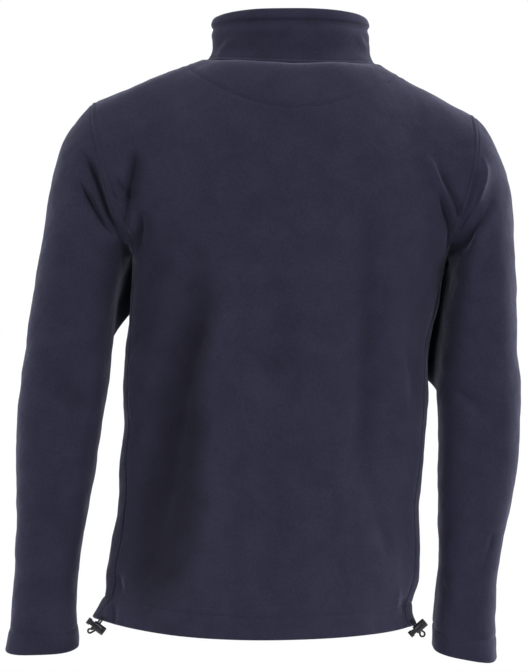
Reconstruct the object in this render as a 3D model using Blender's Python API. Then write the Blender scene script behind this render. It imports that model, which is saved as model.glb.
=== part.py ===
"""A fleece zip jacket with a stand collar, in the hollow form it has when worn.

Metres, +Z up. The front faces -Y and the wearer's left is +X. The origin is the
middle of the neck at the height of the collar seam. Tables are in millimetres.
"""
import math
from typing import NamedTuple

import bmesh
import bpy
import numpy as np
from mathutils import Matrix, Vector

MM = 0.001
COLLECTION = "fleece_zip_jacket"

WALL = 2.5            # one ply of fleece
COLLAR_WALL = 4.5     # two plies
HEM_PLY = 2.2         # what the turned hem adds
HEM_WIDTH = 26.0
CUFF_WIDTH = 24.0
TURN_OVER = 4.0       # the turned ply reaches this far past the hem line
SEAM_GAP = 0.3

HEM_DROP_BACK = 14.5
HEM_DROP_FRONT = 6.0
HEM_DROP_RIGHT = 9.0  # more where the right side hangs
FRONT_EDGE = 4.5      # half the slot between the fronts, where the zip shows

TAPE_WIDTH = 14.0
TAPE_THICK = 0.8
CHAIN_WIDTH = 5.6
CHAIN_THICK = 2.2
SLIDER_HEIGHT = 30.0  # height of the slider on the collar, from the neck seam

TAPE_CLEARANCE = 1.0
ZIP_INSET = 2.0       # the zip ends this far inside the cloth's edges
TAPE_SLOT = 1.2
TAPE_BEND = 125.0     # the tapes follow the body at this radius or more
SLIDER_WIDTH = 8.2
SLIDER_LENGTH = 12.0
SLIDER_PLATE = 1.6
SLIDER_FLANGE = 0.9
BRIDGE_WIDTH = 1.6
BRIDGE_RISE = 3.0
BRIDGE_SPAN = 6.0
BRIDGE_BEAM = 1.2
PULL_AXIS_RISE = 1.5
PULL_WIDTH = 5.6
PULL_THICK = 1.3
PULL_ARM = 1.4
PULL_WINDOW = 8.0
PULL_LENGTH = 21.0

CORD_DIAMETER = 2.2
LOCK_RADIUS = 5.2
LOCK_END = -11.6      # the barrel's closed end, from the cord
LOCK_MOUTH = 4.6
LOCK_STRAND_GAP = 2.6 # between the middles of the cord's two strands
LOCK_SIDES = 20
STEM_RADIUS = 3.1
LOCK_TRAVEL = 3.5
LOCK_CHAMFER = 1.4
LOCK_MOUTH_CHAMFER = 0.8
LOCK_FLOOR = 2.5      # thickness of the barrel's closed end
STEM_PLAY = 0.4
SLOT_PLAY = 0.6
HEAD_GAP = 0.4        # between the pressed head and the barrel
HEAD_INSET = 0.5      # the head is this much smaller in radius
HEAD_RIM = 2.7
HEAD_THICK = 4.3
HEAD_CHAMFER = 1.7
STEM_TAIL = 1.6       # the stem reaches this far past the strands
CORD_LOOP = 3.4       # radius of the free loop of the drawcord

HALF_COLUMNS = 15     # panel columns from the centre to a side seam
NECK_COLUMNS = 7      # of which these end at the neck
LOWER_ROWS = 17
HEM_HEIGHTS = (-666.0, -653.0, -641.0, -636.0)   # the lowest rows
SETTLE = (0.3, 0.7, 1.0)   # how the last lower rows meet the underarm level
UPPER_ROWS = 10
SLEEVE_ROWS = 26


class TorsoRow(NamedTuple):
    """A level section of the body: widest places, side seam and depths."""
    z: float
    left: float
    right: float
    strip: float      # how far the side seam lies in from the widest place
    seam_y: float
    back_y: float
    front_y: float


TORSO = [
    TorsoRow(-666, 232, -151, 9, 20, 112, -128),
    TorsoRow(-654, 231, -147, 9, 20, 110, -129),
    TorsoRow(-638, 224, -148, 9, 21, 108, -130),
    TorsoRow(-610, 221, -155, 8, 22, 105, -130),
    TorsoRow(-574, 214, -157, 8, 23, 103, -130),
    TorsoRow(-526, 206, -155, 7, 25, 101, -131),
    TorsoRow(-478, 204, -160, 7, 26, 99, -133),
    TorsoRow(-430, 199, -165, 7, 26, 98, -136),
    TorsoRow(-382, 201, -166, 6.5, 25, 100, -140),
    TorsoRow(-346, 198, -167, 6, 22, 104, -144),
    TorsoRow(-298, 193, -177, 4, 17, 110, -148),
    TorsoRow(-262, 191, -183, 2.5, 13, 113, -149),
    TorsoRow(-230, 190, -189, 1.5, 10, 114, -148),
]


class SleeveRow(NamedTuple):
    """A slanted section of a sleeve, from its outer to its inner side."""
    outer_x: float
    outer_z: float
    inner_x: float
    inner_z: float
    outer_y: float
    inner_y: float
    back: float
    front: float
    tilt: float       # how far the back drops below the front


SLEEVE_LEFT = [
    SleeveRow(238, -51, 188.5, -232, 0, 10, 68, 94, 0),
    SleeveRow(253, -67, 192.5, -238, 0, 9, 68, 90, 0),
    SleeveRow(269, -93, 194, -246, -1, 7, 69, 86, 0),
    SleeveRow(281, -127, 195.2, -256, -2, 4, 70, 82, 0),
    SleeveRow(291, -180, 198, -268, -4, 1, 71, 78, 0),
    SleeveRow(301, -236, 201, -282, -6, -3, 71, 74, 0),
    SleeveRow(311, -300, 205.5, -305, -8, -8, 69, 69, 0),
    SleeveRow(317, -345, 211, -340, -9, -9, 65, 65, 0),
    SleeveRow(324, -388, 218, -382, -11, -11, 60, 60, 1),
    SleeveRow(328, -442, 228, -442, -16, -16, 55, 55, 2),
    SleeveRow(330, -500, 237, -500, -22, -22, 50, 50, 4),
    SleeveRow(330, -557, 247, -557, -29, -29, 46, 46, 5),
    SleeveRow(334, -614, 257, -614, -36, -36, 43, 43, 6),
    SleeveRow(338, -656, 259, -655, -41, -41, 41, 41, 6),
    SleeveRow(341, -682, 258, -680, -43, -43, 41, 41, 6),
    SleeveRow(346, -708, 257, -705, -46, -46, 43, 43, 6),
]

SLEEVE_RIGHT = [
    SleeveRow(-221, -66, -187.5, -229, 0, 10, 68, 94, 0),
    SleeveRow(-235, -82, -192, -236, -1, 8, 68, 90, 0),
    SleeveRow(-247, -104, -193.5, -244, -3, 4, 70, 86, 0),
    SleeveRow(-259, -136, -193.5, -255, -6, -1, 72, 83, 0),
    SleeveRow(-267, -184, -192, -268, -10, -8, 73, 80, 0),
    SleeveRow(-270, -238, -189, -283, -14, -14, 74, 78, 0),
    SleeveRow(-273, -300, -185, -305, -19, -19, 73, 74, 0),
    SleeveRow(-274, -345, -181, -345, -22, -22, 69, 69, 0),
    SleeveRow(-278, -396, -178, -390, -24, -24, 62, 62, 1),
    SleeveRow(-278, -440, -180, -436, -26, -26, 56, 56, 2),
    SleeveRow(-273, -500, -179.5, -498, -30, -30, 51, 51, 4),
    SleeveRow(-261, -560, -180, -555, -35, -35, 47, 47, 5),
    SleeveRow(-252, -619, -180.5, -612, -40, -40, 44, 44, 6),
    SleeveRow(-249, -664, -177.5, -652, -44, -44, 42, 42, 6),
    SleeveRow(-250, -692, -174, -680, -46, -46, 42, 42, 6),
    SleeveRow(-252, -720, -174, -706, -48, -48, 43, 43, 6),
]
ARMHOLE_SCOOP = 12.0
SCOOP_BEHIND = 0.25   # its share behind the arm
ARMHOLE_BOW_LEFT = 7.0
ARMHOLE_BOW_RIGHT = 10.0
BOW_ROWS = 5.0
SQUARE_ROWS = 6.0     # sleeve sections turn from round to squarer over these
SQUARE_POWER = 2.45
ARMHOLE_PULL = 3.2    # how fast a panel bends towards its armhole
ARMHOLE_GAP = 0.7     # wider than other seams, because the walls meet at an angle
NECK_GAP = 1.0
SHOULDER_SPREAD = 5.0
SHOULDER_CROWN_LEFT = 2.5
SHOULDER_CROWN_RIGHT = -0.5
WAIST_Z = -382.0      # the hem's drop starts below this
HEM_PUFF = 0.5
HEM_NIP = 0.4
HEM_EASE = 5.0        # a turned hem fades over this distance
EVEN_ROW = 4.0        # sleeve points are evenly spaced from this row on
CUFF_STEP = 24.0      # the last sleeve row is this far from the one before
FOLD_STEPS = 40

NECK_HALF = 104.0
NECK_OFFSET = 2.0     # the seam reaches this much further to the right
NECK_TILT = 3.0       # and is higher on the left
NECK_BACK_Y = 58.0
NECK_FRONT_Y = -88.0
NECK_SIDE_Z = -1.0
NECK_BACK_Z = -7.0
NECK_FRONT_Z = -48.0
NECK_POINT_TURN = math.radians(80.0)   # the shoulder seam meets the neck here

COLLAR_TOP_HALF = 92.5
COLLAR_TOP_BACK_Y = 51.0
COLLAR_TOP_FRONT_Y = -84.0
COLLAR_TOP_BACK_Z = 58.5
COLLAR_TOP_SIDE_Z = 54.0
COLLAR_TOP_FRONT_Z = 20.0
COLLAR_CALM = 0.5     # how much of the collar's curve is gone at the zip


class CollarRow(NamedTuple):
    """How far the collar stands out from a straight wall at one height."""
    share: float
    out: float


COLLAR = [
    CollarRow(0.00, 0.0),
    CollarRow(0.08, -3.6),
    CollarRow(0.20, -5.6),
    CollarRow(0.45, -3.8),
    CollarRow(0.64, -1.6),
    CollarRow(0.74, -2.2),
    CollarRow(0.82, 0.9),
    CollarRow(0.93, 1.2),
    CollarRow(1.00, 0.0),
]


class Fold(NamedTuple):
    """A trough or ridge: its height, half-width and path seen from behind."""
    height: float
    width: float
    path: tuple


BACK_FOLDS = [
    Fold(-17.0, 27, ((100, -210), (108, -260), (120, -320), (138, -400), (154, -480), (172, -560), (188, -630))),
    Fold(7.0, 24, ((50, -200), (55, -280), (60, -345), (74, -480), (86, -600))),
    Fold(-2.5, 15, ((-1, -183), (-6, -345), (-8, -507))),
    Fold(3.0, 18, ((-36, -200), (-44, -310), (-49, -380), (-59, -530), (-64, -620))),
    Fold(-3.5, 15, ((-92, -182), (-100, -279), (-95, -395))),
    Fold(3.5, 10, ((-108, -240), (-124, -310), (-139, -395), (-148, -465))),
    Fold(-3.0, 10, ((-131, -318), (-142, -369), (-151, -425))),
    Fold(-2.5, 9, ((-92, -481), (-112, -570), (-131, -601))),
    Fold(-2.5, 15, ((133, -155), (143, -194), (164, -279))),
    Fold(2.5, 11, ((132, -101), (152, -150), (158, -178))),
    Fold(-4.0, 9, ((182, -109), (184, -131), (190, -156), (195, -197))),
    Fold(-3.5, 9, ((178, -178), (180, -207), (185, -236))),
    Fold(3.5, 9, ((-159, -109), (-169, -127), (-180, -150), (-194, -191))),
    Fold(-3.5, 9, ((-176, -125), (-187, -158), (-194, -185))),
    Fold(-2.5, 12, ((-153, -110), (-160, -165))),
    Fold(-5.0, 10, ((245, -107), (235, -130), (224, -151), (215, -183), (203, -212))),
    Fold(-4.0, 9, ((256, -130), (242, -157), (232, -181), (218, -205))),
    Fold(4.5, 9, ((-228, -122), (-229, -142), (-215, -189), (-200, -218))),
    Fold(-5.0, 9, ((-228, -165), (-212, -207), (-200, -232))),
    Fold(3.5, 9, ((-240, -172), (-231, -195), (-215, -228))),
    Fold(-4.0, 14, ((290, -370), (262, -400), (240, -425))),
    Fold(-3.5, 12, ((-200, -395), (-225, -412), (-250, -440))),
    Fold(3.0, 9, ((-186, -618), (-200, -650))),
]

FRONT_FOLDS = [
    Fold(-5.0, 15, ((120, -190), (130, -300), (138, -420), (150, -560), (160, -620))),
    Fold(3.0, 18, ((70, -200), (82, -360), (92, -560))),
    Fold(-4.0, 14, ((-100, -190), (-98, -330), (-88, -460), (-84, -600))),
    Fold(3.0, 18, ((-55, -240), (-52, -400), (-40, -580))),
    Fold(-5.0, 10, ((160, -120), (172, -160), (184, -205))),
    Fold(3.5, 10, ((142, -125), (156, -170), (170, -215))),
    Fold(-5.0, 10, ((-150, -125), (-165, -165), (-182, -205))),
    Fold(3.5, 10, ((-134, -130), (-148, -175), (-165, -220))),
    Fold(-4.5, 10, ((258, -120), (244, -155), (225, -190), (208, -215))),
    Fold(-4.5, 10, ((-238, -130), (-228, -165), (-212, -200))),
    Fold(-4.0, 14, ((292, -360), (262, -392), (240, -410))),
    Fold(-4.0, 13, ((-250, -370), (-225, -400), (-202, -415))),
]


class LockPlace(NamedTuple):
    """Where a cord lock hangs, and which way its plunger points."""
    side: str
    x: float
    y: float
    z: float
    lean: float       # degrees from +X towards +Z of the plunger's end


LOCKS = [
    LockPlace("left", 230.0, 36.0, -673.0, 36.0),
    LockPlace("right", -151.4, 36.0, -675.0, -41.0),
]


def smooth_through(keys, values, at):
    """Cubic curve through each key's value (values may be points)."""
    keys = np.asarray(keys, float)
    values = np.asarray(values, float)
    at = np.clip(np.asarray(at, float), keys[0], keys[-1])
    slopes = np.gradient(values, keys, axis=0)
    low = np.clip(np.searchsorted(keys, at, side="right") - 1, 0, len(keys) - 2)
    step = keys[low + 1] - keys[low]
    q = (at - keys[low]) / step
    if values.ndim > 1:
        q, step = q[:, None], step[:, None]
    rise = 3 * q**2 - 2 * q**3
    return (values[low] * (1 - rise) + values[low + 1] * rise
            + slopes[low] * step * (q**3 - 2 * q**2 + q)
            + slopes[low + 1] * step * (q**3 - q**2))


def ease(share):
    """Rises smoothly from 0 to 1 as share does."""
    share = np.clip(share, 0.0, 1.0)
    return share * share * (3 - 2 * share)


def unit(vectors):
    """Vectors at length 1."""
    return vectors / np.linalg.norm(vectors, axis=-1, keepdims=True)


def torso_at(heights):
    """The body's columns at each height, as a dict of arrays."""
    keys = [row.z for row in TORSO]
    return {
        name: smooth_through(keys, [getattr(row, name) for row in TORSO], heights)
        for name in TorsoRow._fields[1:]
    }


def body_rows(heights, shares, front):
    """Rows of points from the right side seam to the left one.

    A row is an arc of an ellipse: x goes with sin and y with cos. The front's
    arc is longer than a half turn, so that it rounds past the side seam, and
    the back's arc leaves the seam in the same direction.
    """
    t = torso_at(heights)
    seam_left = t["left"] - t["strip"]
    seam_right = t["right"] + t["strip"]
    middle = (seam_left + seam_right) / 2
    half = (seam_left - seam_right) / 2
    sine = half / (half + t["strip"])
    past = np.sqrt(1 - sine**2)
    deep_front = t["seam_y"] - t["front_y"]
    deep_back = t["back_y"] - t["seam_y"]
    slope = half / deep_front * past / (1 - past)
    lean = slope * deep_back / half
    turn = np.pi - np.arcsin(sine) if front else np.arccos(lean / (1 - lean))
    end = t["front_y"] if front else t["back_y"]
    angle = shares[None, :] * turn[:, None]
    x = middle[:, None] + half[:, None] * np.sin(angle) / np.sin(turn)[:, None]
    rise = (np.cos(angle) - np.cos(turn)[:, None]) / (1 - np.cos(turn)[:, None])
    y = t["seam_y"][:, None] + (end - t["seam_y"])[:, None] * rise
    z = np.repeat(np.asarray(heights, float)[:, None], len(shares), axis=1)
    return np.stack([x, y, z], axis=-1)


def neck_point(turn):
    """The collar seam, by the turn from the centre back (0) to the front (pi)."""
    turn = np.asarray(turn, float)
    middle = (NECK_BACK_Y + NECK_FRONT_Y) / 2
    reach = (NECK_BACK_Y - NECK_FRONT_Y) / 2
    fall = ease((np.abs(turn) - math.pi / 2) / (math.pi / 2))
    z = NECK_SIDE_Z + (NECK_BACK_Z - NECK_SIDE_Z) * np.cos(turn)**2 * (np.abs(turn) < math.pi / 2)
    z = z + (NECK_FRONT_Z - NECK_SIDE_Z) * fall + NECK_TILT * np.sin(turn)
    return np.stack([NECK_HALF * np.sin(turn) - NECK_OFFSET * np.sin(turn)**2, middle + reach * np.cos(turn), z], axis=-1)


def sleeve_ring(row, turn, place=0.0):
    """One sleeve section: turn 0 is outside, pi/2 behind, pi inside.

    It is a superellipse: round at the armhole, squarer further down the table.
    """
    outer = np.array([row.outer_x, row.outer_y, row.outer_z])
    inner = np.array([row.inner_x, row.inner_y, row.inner_z])
    centre = (outer + inner) / 2
    power = 2 / (2 + (SQUARE_POWER - 2) * ease(place / SQUARE_ROWS))
    cosine, sine = np.cos(turn), np.sin(turn)
    cosine = np.sign(cosine) * np.abs(cosine)**power
    sine = np.sign(sine) * np.abs(sine)**power
    ring = centre + (outer - centre) * cosine[:, None]
    ring[:, 1] += np.where(sine > 0, row.back, row.front) * sine
    ring[:, 2] -= row.tilt * sine
    return ring


def scoop(rows, turns):
    """How the armhole seam bows: out above its middle and in below it.

    Behind the arm it also bows out as a whole, with sin^2 of the turn.
    """
    sign = math.copysign(1.0, rows[0].outer_x)
    swing = np.sin(turns)**2
    behind = np.sin(turns) > 0
    bow = ARMHOLE_SCOOP * swing * np.cos(turns) * np.where(behind, SCOOP_BEHIND, 1.0)
    bow = bow + (ARMHOLE_BOW_LEFT if sign > 0 else ARMHOLE_BOW_RIGHT) * swing * behind
    return bow[..., None] * np.array([sign, 0.0, 0.0])


def armhole(rows, turn):
    """The armhole seam: the first sleeve section, scooped."""
    return sleeve_ring(rows[0], turn) + scoop(rows, turn)


def armhole_frame(rows, points):
    """Unit vectors away from the armhole's axis at each point, and that axis."""
    row = rows[0]
    outer = np.array([row.outer_x, row.outer_y, row.outer_z])
    inner = np.array([row.inner_x, row.inner_y, row.inner_z])
    chord = outer - inner
    axis = unit(np.array([chord[2], 0.0, -chord[0]])) * math.copysign(1.0, row.outer_x)
    out = points - (outer + inner) / 2
    out = out - (out @ axis)[..., None] * axis
    return unit(out), axis


def quarter_curve(count, power=2.7, rise=200.0, reach=75.0):
    """Even steps along a rounded corner, as shares of its rise and its reach."""
    fine = np.linspace(0, math.pi / 2, 400)
    up = np.sin(fine)**(2 / power)
    over = 1 - np.cos(fine)**(2 / power)
    run = np.concatenate([[0], np.cumsum(np.hypot(np.diff(up) * rise, np.diff(over) * reach))])
    at = np.linspace(0, run[-1], count)
    return np.interp(at, run, up), np.interp(at, run, over)


def seam_turns():
    """Turns round the armhole, from underarm to shoulder, with their rises."""
    up, over = quarter_curve(UPPER_ROWS + 1)
    return np.arccos(np.clip(2 * up - 1, -1, 1)), up, over


def neck_turn(share, front):
    """The turn round the neck where a panel's column ends."""
    part = share * HALF_COLUMNS / NECK_COLUMNS
    if not front:
        return part * NECK_POINT_TURN
    return math.copysign(math.pi, share) - part * (math.pi - NECK_POINT_TURN)


def shoulder_line(shares, front):
    """The panel's top edge: the neck seam, then the shoulder seam."""
    neck_share = NECK_COLUMNS / HALF_COLUMNS
    tops = []
    for share in shares:
        if abs(share) < neck_share + 0.001:
            tops.append(neck_point(neck_turn(share, front)))
            continue
        row = (SLEEVE_LEFT if share > 0 else SLEEVE_RIGHT)[0]
        start = neck_point(math.copysign(NECK_POINT_TURN, share))
        end = np.array([row.outer_x, row.outer_y, row.outer_z])
        along = (abs(share) - neck_share) / (1 - neck_share)
        point = start + (end - start) * along
        crown = SHOULDER_CROWN_LEFT if share > 0 else SHOULDER_CROWN_RIGHT
        point[2] += crown * math.sin(math.pi * along)
        tops.append(point)
    return np.array(tops)


def panel_grid(shares, front):
    """A body panel's outer points, from hem to shoulder.

    Below the underarm its rows are those of the body. Above it each column
    runs up and rounds over to the shoulder line, and the outer columns are
    drawn onto the armhole seam.
    """
    even = np.linspace(HEM_HEIGHTS[-1], TORSO[-1].z, LOWER_ROWS - len(HEM_HEIGHTS) + 1)
    heights = np.concatenate([HEM_HEIGHTS, even[1:]])
    lower = body_rows(heights, shares, front)
    drop = HEM_DROP_FRONT if front else HEM_DROP_BACK
    sink = ease((WAIST_Z - lower[..., 2]) / (WAIST_Z - TORSO[0].z))
    lower[..., 2] -= sink * (drop * np.cos(shares * math.pi / 2) + HEM_DROP_RIGHT * ease(-shares))
    to_left = ease((shares + 1) / 2)
    underarm = SLEEVE_RIGHT[0].inner_z * (1 - to_left) + SLEEVE_LEFT[0].inner_z * to_left
    settle = (underarm - lower[-1, :, 2])[None, :]
    lower[-len(SETTLE):, :, 2] += settle * np.array(SETTLE)[:, None]
    base, top = lower[-1], shoulder_line(shares, front)
    turns, up, over = seam_turns()
    upper = base + (top - base) * np.stack([up, over, up], axis=-1)[1:, None, :]
    beside = np.clip(1 - SHOULDER_SPREAD * (np.abs(shares) - NECK_COLUMNS / HALF_COLUMNS), 0, 1)
    beside = beside * np.abs(unit(top[:, :2] - [0.0, (NECK_BACK_Y + NECK_FRONT_Y) / 2])[:, 0])
    late = beside[None, :] * (over - up)[1:, None]
    upper[..., 0] += (top - base)[None, :, 0] * late
    for rows, sign in ((SLEEVE_LEFT, 1), (SLEEVE_RIGHT, -1)):
        edge_column = int(np.argmax(shares * sign))
        if abs(shares[edge_column]) < 0.999:
            continue
        seam = armhole(rows, turns[1:] * (-1 if front else 1))
        pull = seam - upper[:, edge_column]
        weight = np.where(shares * sign > 0, np.abs(shares), 0)**ARMHOLE_PULL
        upper += pull[:, None, :] * weight[None, :, None]
    return np.concatenate([lower, upper])


def grid_normals(points, outward, wraps=False):
    """Unit normals of a grid; 'outward' is a rough outward direction."""
    along = np.gradient(points, axis=0)
    if wraps:
        across = np.roll(points, -1, axis=1) - np.roll(points, 1, axis=1)
    else:
        across = np.gradient(points, axis=1)
    normals = unit(np.cross(along, across))
    return normals if np.sum(normals * outward) > 0 else -normals


def fold_height(points, normals):
    """Height of the folds at each point: bells across their paths."""
    flat = points.reshape(-1, 3)
    facing = normals.reshape(-1, 3)[:, 1]
    total = np.zeros(len(flat))
    for folds, sign in ((BACK_FOLDS, 1), (FRONT_FOLDS, -1)):
        shown = ease((facing * sign + 0.05) / 0.45)
        for fold in folds:
            at = np.linspace(0, len(fold.path) - 1, FOLD_STEPS)
            path = smooth_through(np.arange(len(fold.path)), fold.path, at)
            away = np.linalg.norm(flat[:, None, [0, 2]] - path[None], axis=-1)
            along = np.argmin(away, axis=1) / (FOLD_STEPS - 1)
            taper = np.clip(4.5 * along * (1 - along), 0, 1)
            bell = np.exp(-(away.min(axis=1) / fold.width)**2)
            total += fold.height * bell * taper * shown
    return total.reshape(points.shape[:-1])


def shell_object(name, outer, inner, material, wraps=False):
    """A closed wall between an outer and an inner grid of points."""
    rows, columns = outer.shape[:2]
    count = rows * columns
    index = np.arange(count).reshape(rows, columns)
    ring = np.concatenate([index, index[:, :1]], axis=1) if wraps else index
    corners = np.stack([ring[:-1, :-1], ring[:-1, 1:], ring[1:, 1:], ring[1:, :-1]], axis=-1).reshape(-1, 4)
    faces = [corners, corners[:, ::-1] + count]
    rims = [ring[0], ring[-1]]
    if not wraps:
        rims += [ring[:, 0], ring[:, -1]]
    for rim in rims:
        faces.append(np.stack([rim[:-1], rim[1:], rim[1:] + count, rim[:-1] + count], axis=-1))
    mesh = bpy.data.meshes.new(name)
    points = np.concatenate([outer.reshape(-1, 3), inner.reshape(-1, 3)]) * MM
    mesh.from_pydata(points.tolist(), [], np.concatenate(faces).tolist())
    return finish_object(name, mesh, material)


def finish_object(name, mesh, material):
    """Point the faces out, shade them and link the object."""
    work = bmesh.new()
    work.from_mesh(mesh)
    bmesh.ops.recalc_face_normals(work, faces=work.faces)
    work.to_mesh(mesh)
    work.free()
    mesh.shade_smooth()
    mesh.materials.append(material)
    piece = bpy.data.objects.new(name, mesh)
    bpy.data.collections[COLLECTION].objects.link(piece)
    return piece


def paint(name, colour, roughness, metallic=0.0):
    """A plain material."""
    material = bpy.data.materials.new(name)
    material.use_nodes = True
    shader = material.node_tree.nodes["Principled BSDF"]
    shader.inputs["Base Color"].default_value = (*colour, 1.0)
    shader.inputs["Roughness"].default_value = roughness
    shader.inputs["Metallic"].default_value = metallic
    return material


def hem_swell(distance, width):
    """Outward swell of a turned hem, nipped in at its line of stitches."""
    nip = HEM_NIP * np.exp(-((distance - width) / HEM_EASE)**2)
    return HEM_PUFF * ease((width - distance) / HEM_EASE) - nip


def hem_wall(distance, width):
    """Thickness of the cloth: more where the hem is turned."""
    return WALL + HEM_PLY * ease((width + TURN_OVER - distance) / HEM_EASE)


def front_shift(part):
    """How far the cloth beside the zip is moved off the centre line."""
    return FRONT_EDGE * np.clip(1 - part, 0, 1)**2


def make_panel(name, shares, front, fleece):
    """The back or one front, as a wall that stops at its seams."""
    outer = panel_grid(shares, front)
    sign_y = -1.0 if front else 1.0
    if front:
        outer[..., 0] += np.sign(np.sum(shares)) * front_shift(np.abs(shares) * HALF_COLUMNS / NECK_COLUMNS)
    normals = grid_normals(outer, np.array([0.0, sign_y, 0.0]))
    back = np.array([0.0, sign_y, 0.0])
    seam_shift = np.zeros_like(outer)

    top = np.abs(shares) > NECK_COLUMNS / HALF_COLUMNS + 0.001
    seam_shift[-1, top] = back
    normals[-1, top] = np.array([0.0, 0.0, 1.0])
    neck = ~top
    normals[-1, neck] = neck_out(outer[-1, neck])
    seam_shift[-1, neck] = np.array([0.0, 0.0, -NECK_GAP / SEAM_GAP])
    seam_shift[-1, np.abs(np.abs(shares) - NECK_COLUMNS / HALF_COLUMNS) < 0.001] += back

    for rows, sign in ((SLEEVE_LEFT, 1), (SLEEVE_RIGHT, -1)):
        column = int(np.argmax(shares * sign))
        if abs(shares[column]) < 0.999:
            continue
        normals[:LOWER_ROWS - 1, column] = unit(np.array([sign, 0.1, 0.0]))
        seam_shift[:LOWER_ROWS - 1, column] = back
        out, axis = armhole_frame(rows, outer[LOWER_ROWS - 1:, column])
        normals[LOWER_ROWS - 1:, column] = out
        seam_shift[LOWER_ROWS - 1:, column] = -axis * ARMHOLE_GAP / SEAM_GAP
        seam_shift[LOWER_ROWS - 1, column] += back
        seam_shift[-1, column] += back

    distance = outer[..., 2] - outer[:1, :, 2]
    height = fold_height(outer, normals) + hem_swell(distance, HEM_WIDTH)
    outer = outer + normals * height[..., None] + seam_shift * SEAM_GAP / 2
    inner = outer - normals * hem_wall(distance, HEM_WIDTH)[..., None]
    return shell_object(name, outer, inner, fleece)


def neck_out(points):
    """Unit vectors away from the neck's axis."""
    middle = np.array([0.0, (NECK_BACK_Y + NECK_FRONT_Y) / 2, 0.0])
    away = points - middle
    away[..., 2] = 0.0
    return unit(away)


def make_sleeve(name, rows, fleece):
    """A sleeve: rings that fan out from the armhole to the arm's line."""
    last = len(rows) - 1
    at = np.linspace(0, last, SLEEVE_ROWS + 1)
    table = smooth_through(np.arange(last + 1), [list(row) for row in rows], at)
    behind = seam_turns()[0]
    seam = np.concatenate([behind, -behind[::-1][1:-1]])
    even = np.linspace(math.pi, -math.pi, len(seam), endpoint=False)
    turns = seam + (even - seam) * ease(at / EVEN_ROW)[:, None]
    outer = np.array([sleeve_ring(SleeveRow(*values), turn, place)
                      for values, turn, place in zip(table, turns, at)])
    outer += (1 - ease(at / BOW_ROWS))[:, None, None] * scoop(rows, turns)
    normals = grid_normals(outer, outer - outer.mean(axis=1, keepdims=True), wraps=True)
    out, axis = armhole_frame(rows, outer[0])
    normals[0] = out
    distance = np.repeat(((last - at) * CUFF_STEP)[:, None], len(seam), axis=1)
    height = fold_height(outer, normals) + hem_swell(distance, CUFF_WIDTH)
    outer = outer + normals * height[..., None]
    outer[0] += axis * ARMHOLE_GAP / 2
    inner = outer - normals * hem_wall(distance, CUFF_WIDTH)[..., None]
    return shell_object(name, outer, inner, fleece, wraps=True)


def collar_grid():
    """The collar's outer points, from the seam to the top."""
    parts = np.arange(NECK_COLUMNS + 1) / NECK_COLUMNS
    back = parts * NECK_POINT_TURN
    front = math.pi - parts[::-1] * (math.pi - NECK_POINT_TURN)
    half = np.concatenate([back, front[1:]])
    turns = np.concatenate([-half[::-1][:-1], half])
    part = (math.pi - np.abs(turns)) / (math.pi - NECK_POINT_TURN)
    shift = np.sign(turns) * front_shift(part)
    return collar_points(turns, shift)


def collar_points(turns, shift):
    """Points of the collar at each table row and turn, moved sideways by shift."""
    base = neck_point(turns)
    reach = (COLLAR_TOP_BACK_Y - COLLAR_TOP_FRONT_Y) / 2
    middle = (COLLAR_TOP_BACK_Y + COLLAR_TOP_FRONT_Y) / 2
    behind = (1 - np.sin(turns)**4) * (np.abs(turns) < math.pi / 2)
    fall = ease((np.abs(turns) - math.pi / 2) / (math.pi / 2))
    top_z = COLLAR_TOP_SIDE_Z + (COLLAR_TOP_BACK_Z - COLLAR_TOP_SIDE_Z) * behind
    top_z = top_z + (COLLAR_TOP_FRONT_Z - COLLAR_TOP_SIDE_Z) * fall
    top = np.stack([COLLAR_TOP_HALF * np.sin(turns), middle + reach * np.cos(turns), top_z], axis=-1)
    out = neck_out(base) * (1 - COLLAR_CALM * fall)[:, None]
    rows = np.array([base + (top - base) * row.share + out * row.out for row in COLLAR])
    rows[..., 0] += shift
    return rows


def make_collar(fleece):
    """The stand collar: a two-ply wall round the neck, open at the zip."""
    outer = collar_grid()
    normals = neck_out(outer)
    outer[0, :, 2] += NECK_GAP / 2
    return shell_object("collar", outer, outer - normals * COLLAR_WALL, fleece)


def zip_line():
    """The centre line of the zip, its outward normals and its depth there."""
    shares = np.array([0.0, 1.0 / HALF_COLUMNS])
    body = panel_grid(shares, True)[:, 0]
    neck = collar_points(np.array([math.pi]), 0.0)[1:, 0]
    line = np.concatenate([body, neck])
    line[0, 2] += ZIP_INSET
    line[-1, 2] -= ZIP_INSET
    along = np.gradient(line, axis=0)
    normals = unit(np.stack([np.zeros(len(line)), -along[:, 2], along[:, 1]], axis=-1))
    distance = line[:, 2] - line[0, 2]
    depth = hem_wall(distance, HEM_WIDTH) + TAPE_CLEARANCE
    depth[len(body) - 2:] = COLLAR_WALL + TAPE_CLEARANCE
    return line, normals, depth


def make_ribbon(name, line, normals, across, depth, thick, material):
    """A flat strip along the zip: columns at 'across', bent to the body."""
    columns = []
    for offset in across:
        column = line - normals * depth[:, None]
        column[:, 0] += offset
        column[:, 1] += offset**2 / (2 * TAPE_BEND)
        columns.append(column)
    outer = np.stack(columns, axis=1)
    return shell_object(name, outer, outer - normals[:, None] * thick, material)


def make_zip(tape, teeth):
    """Both tapes and the closed chain between them."""
    line, normals, depth = zip_line()
    for side, sign in (("left", 1), ("right", -1)):
        across = [sign * x for x in (TAPE_SLOT / 2, TAPE_WIDTH / 2, TAPE_WIDTH)]
        make_ribbon(f"zip_tape_{side}", line, normals, across, depth, TAPE_THICK, tape)
    chain_depth = depth - SEAM_GAP - CHAIN_THICK
    make_ribbon("zip_chain", line, normals, [-CHAIN_WIDTH / 2, 0.0, CHAIN_WIDTH / 2], chain_depth, CHAIN_THICK, teeth)


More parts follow.
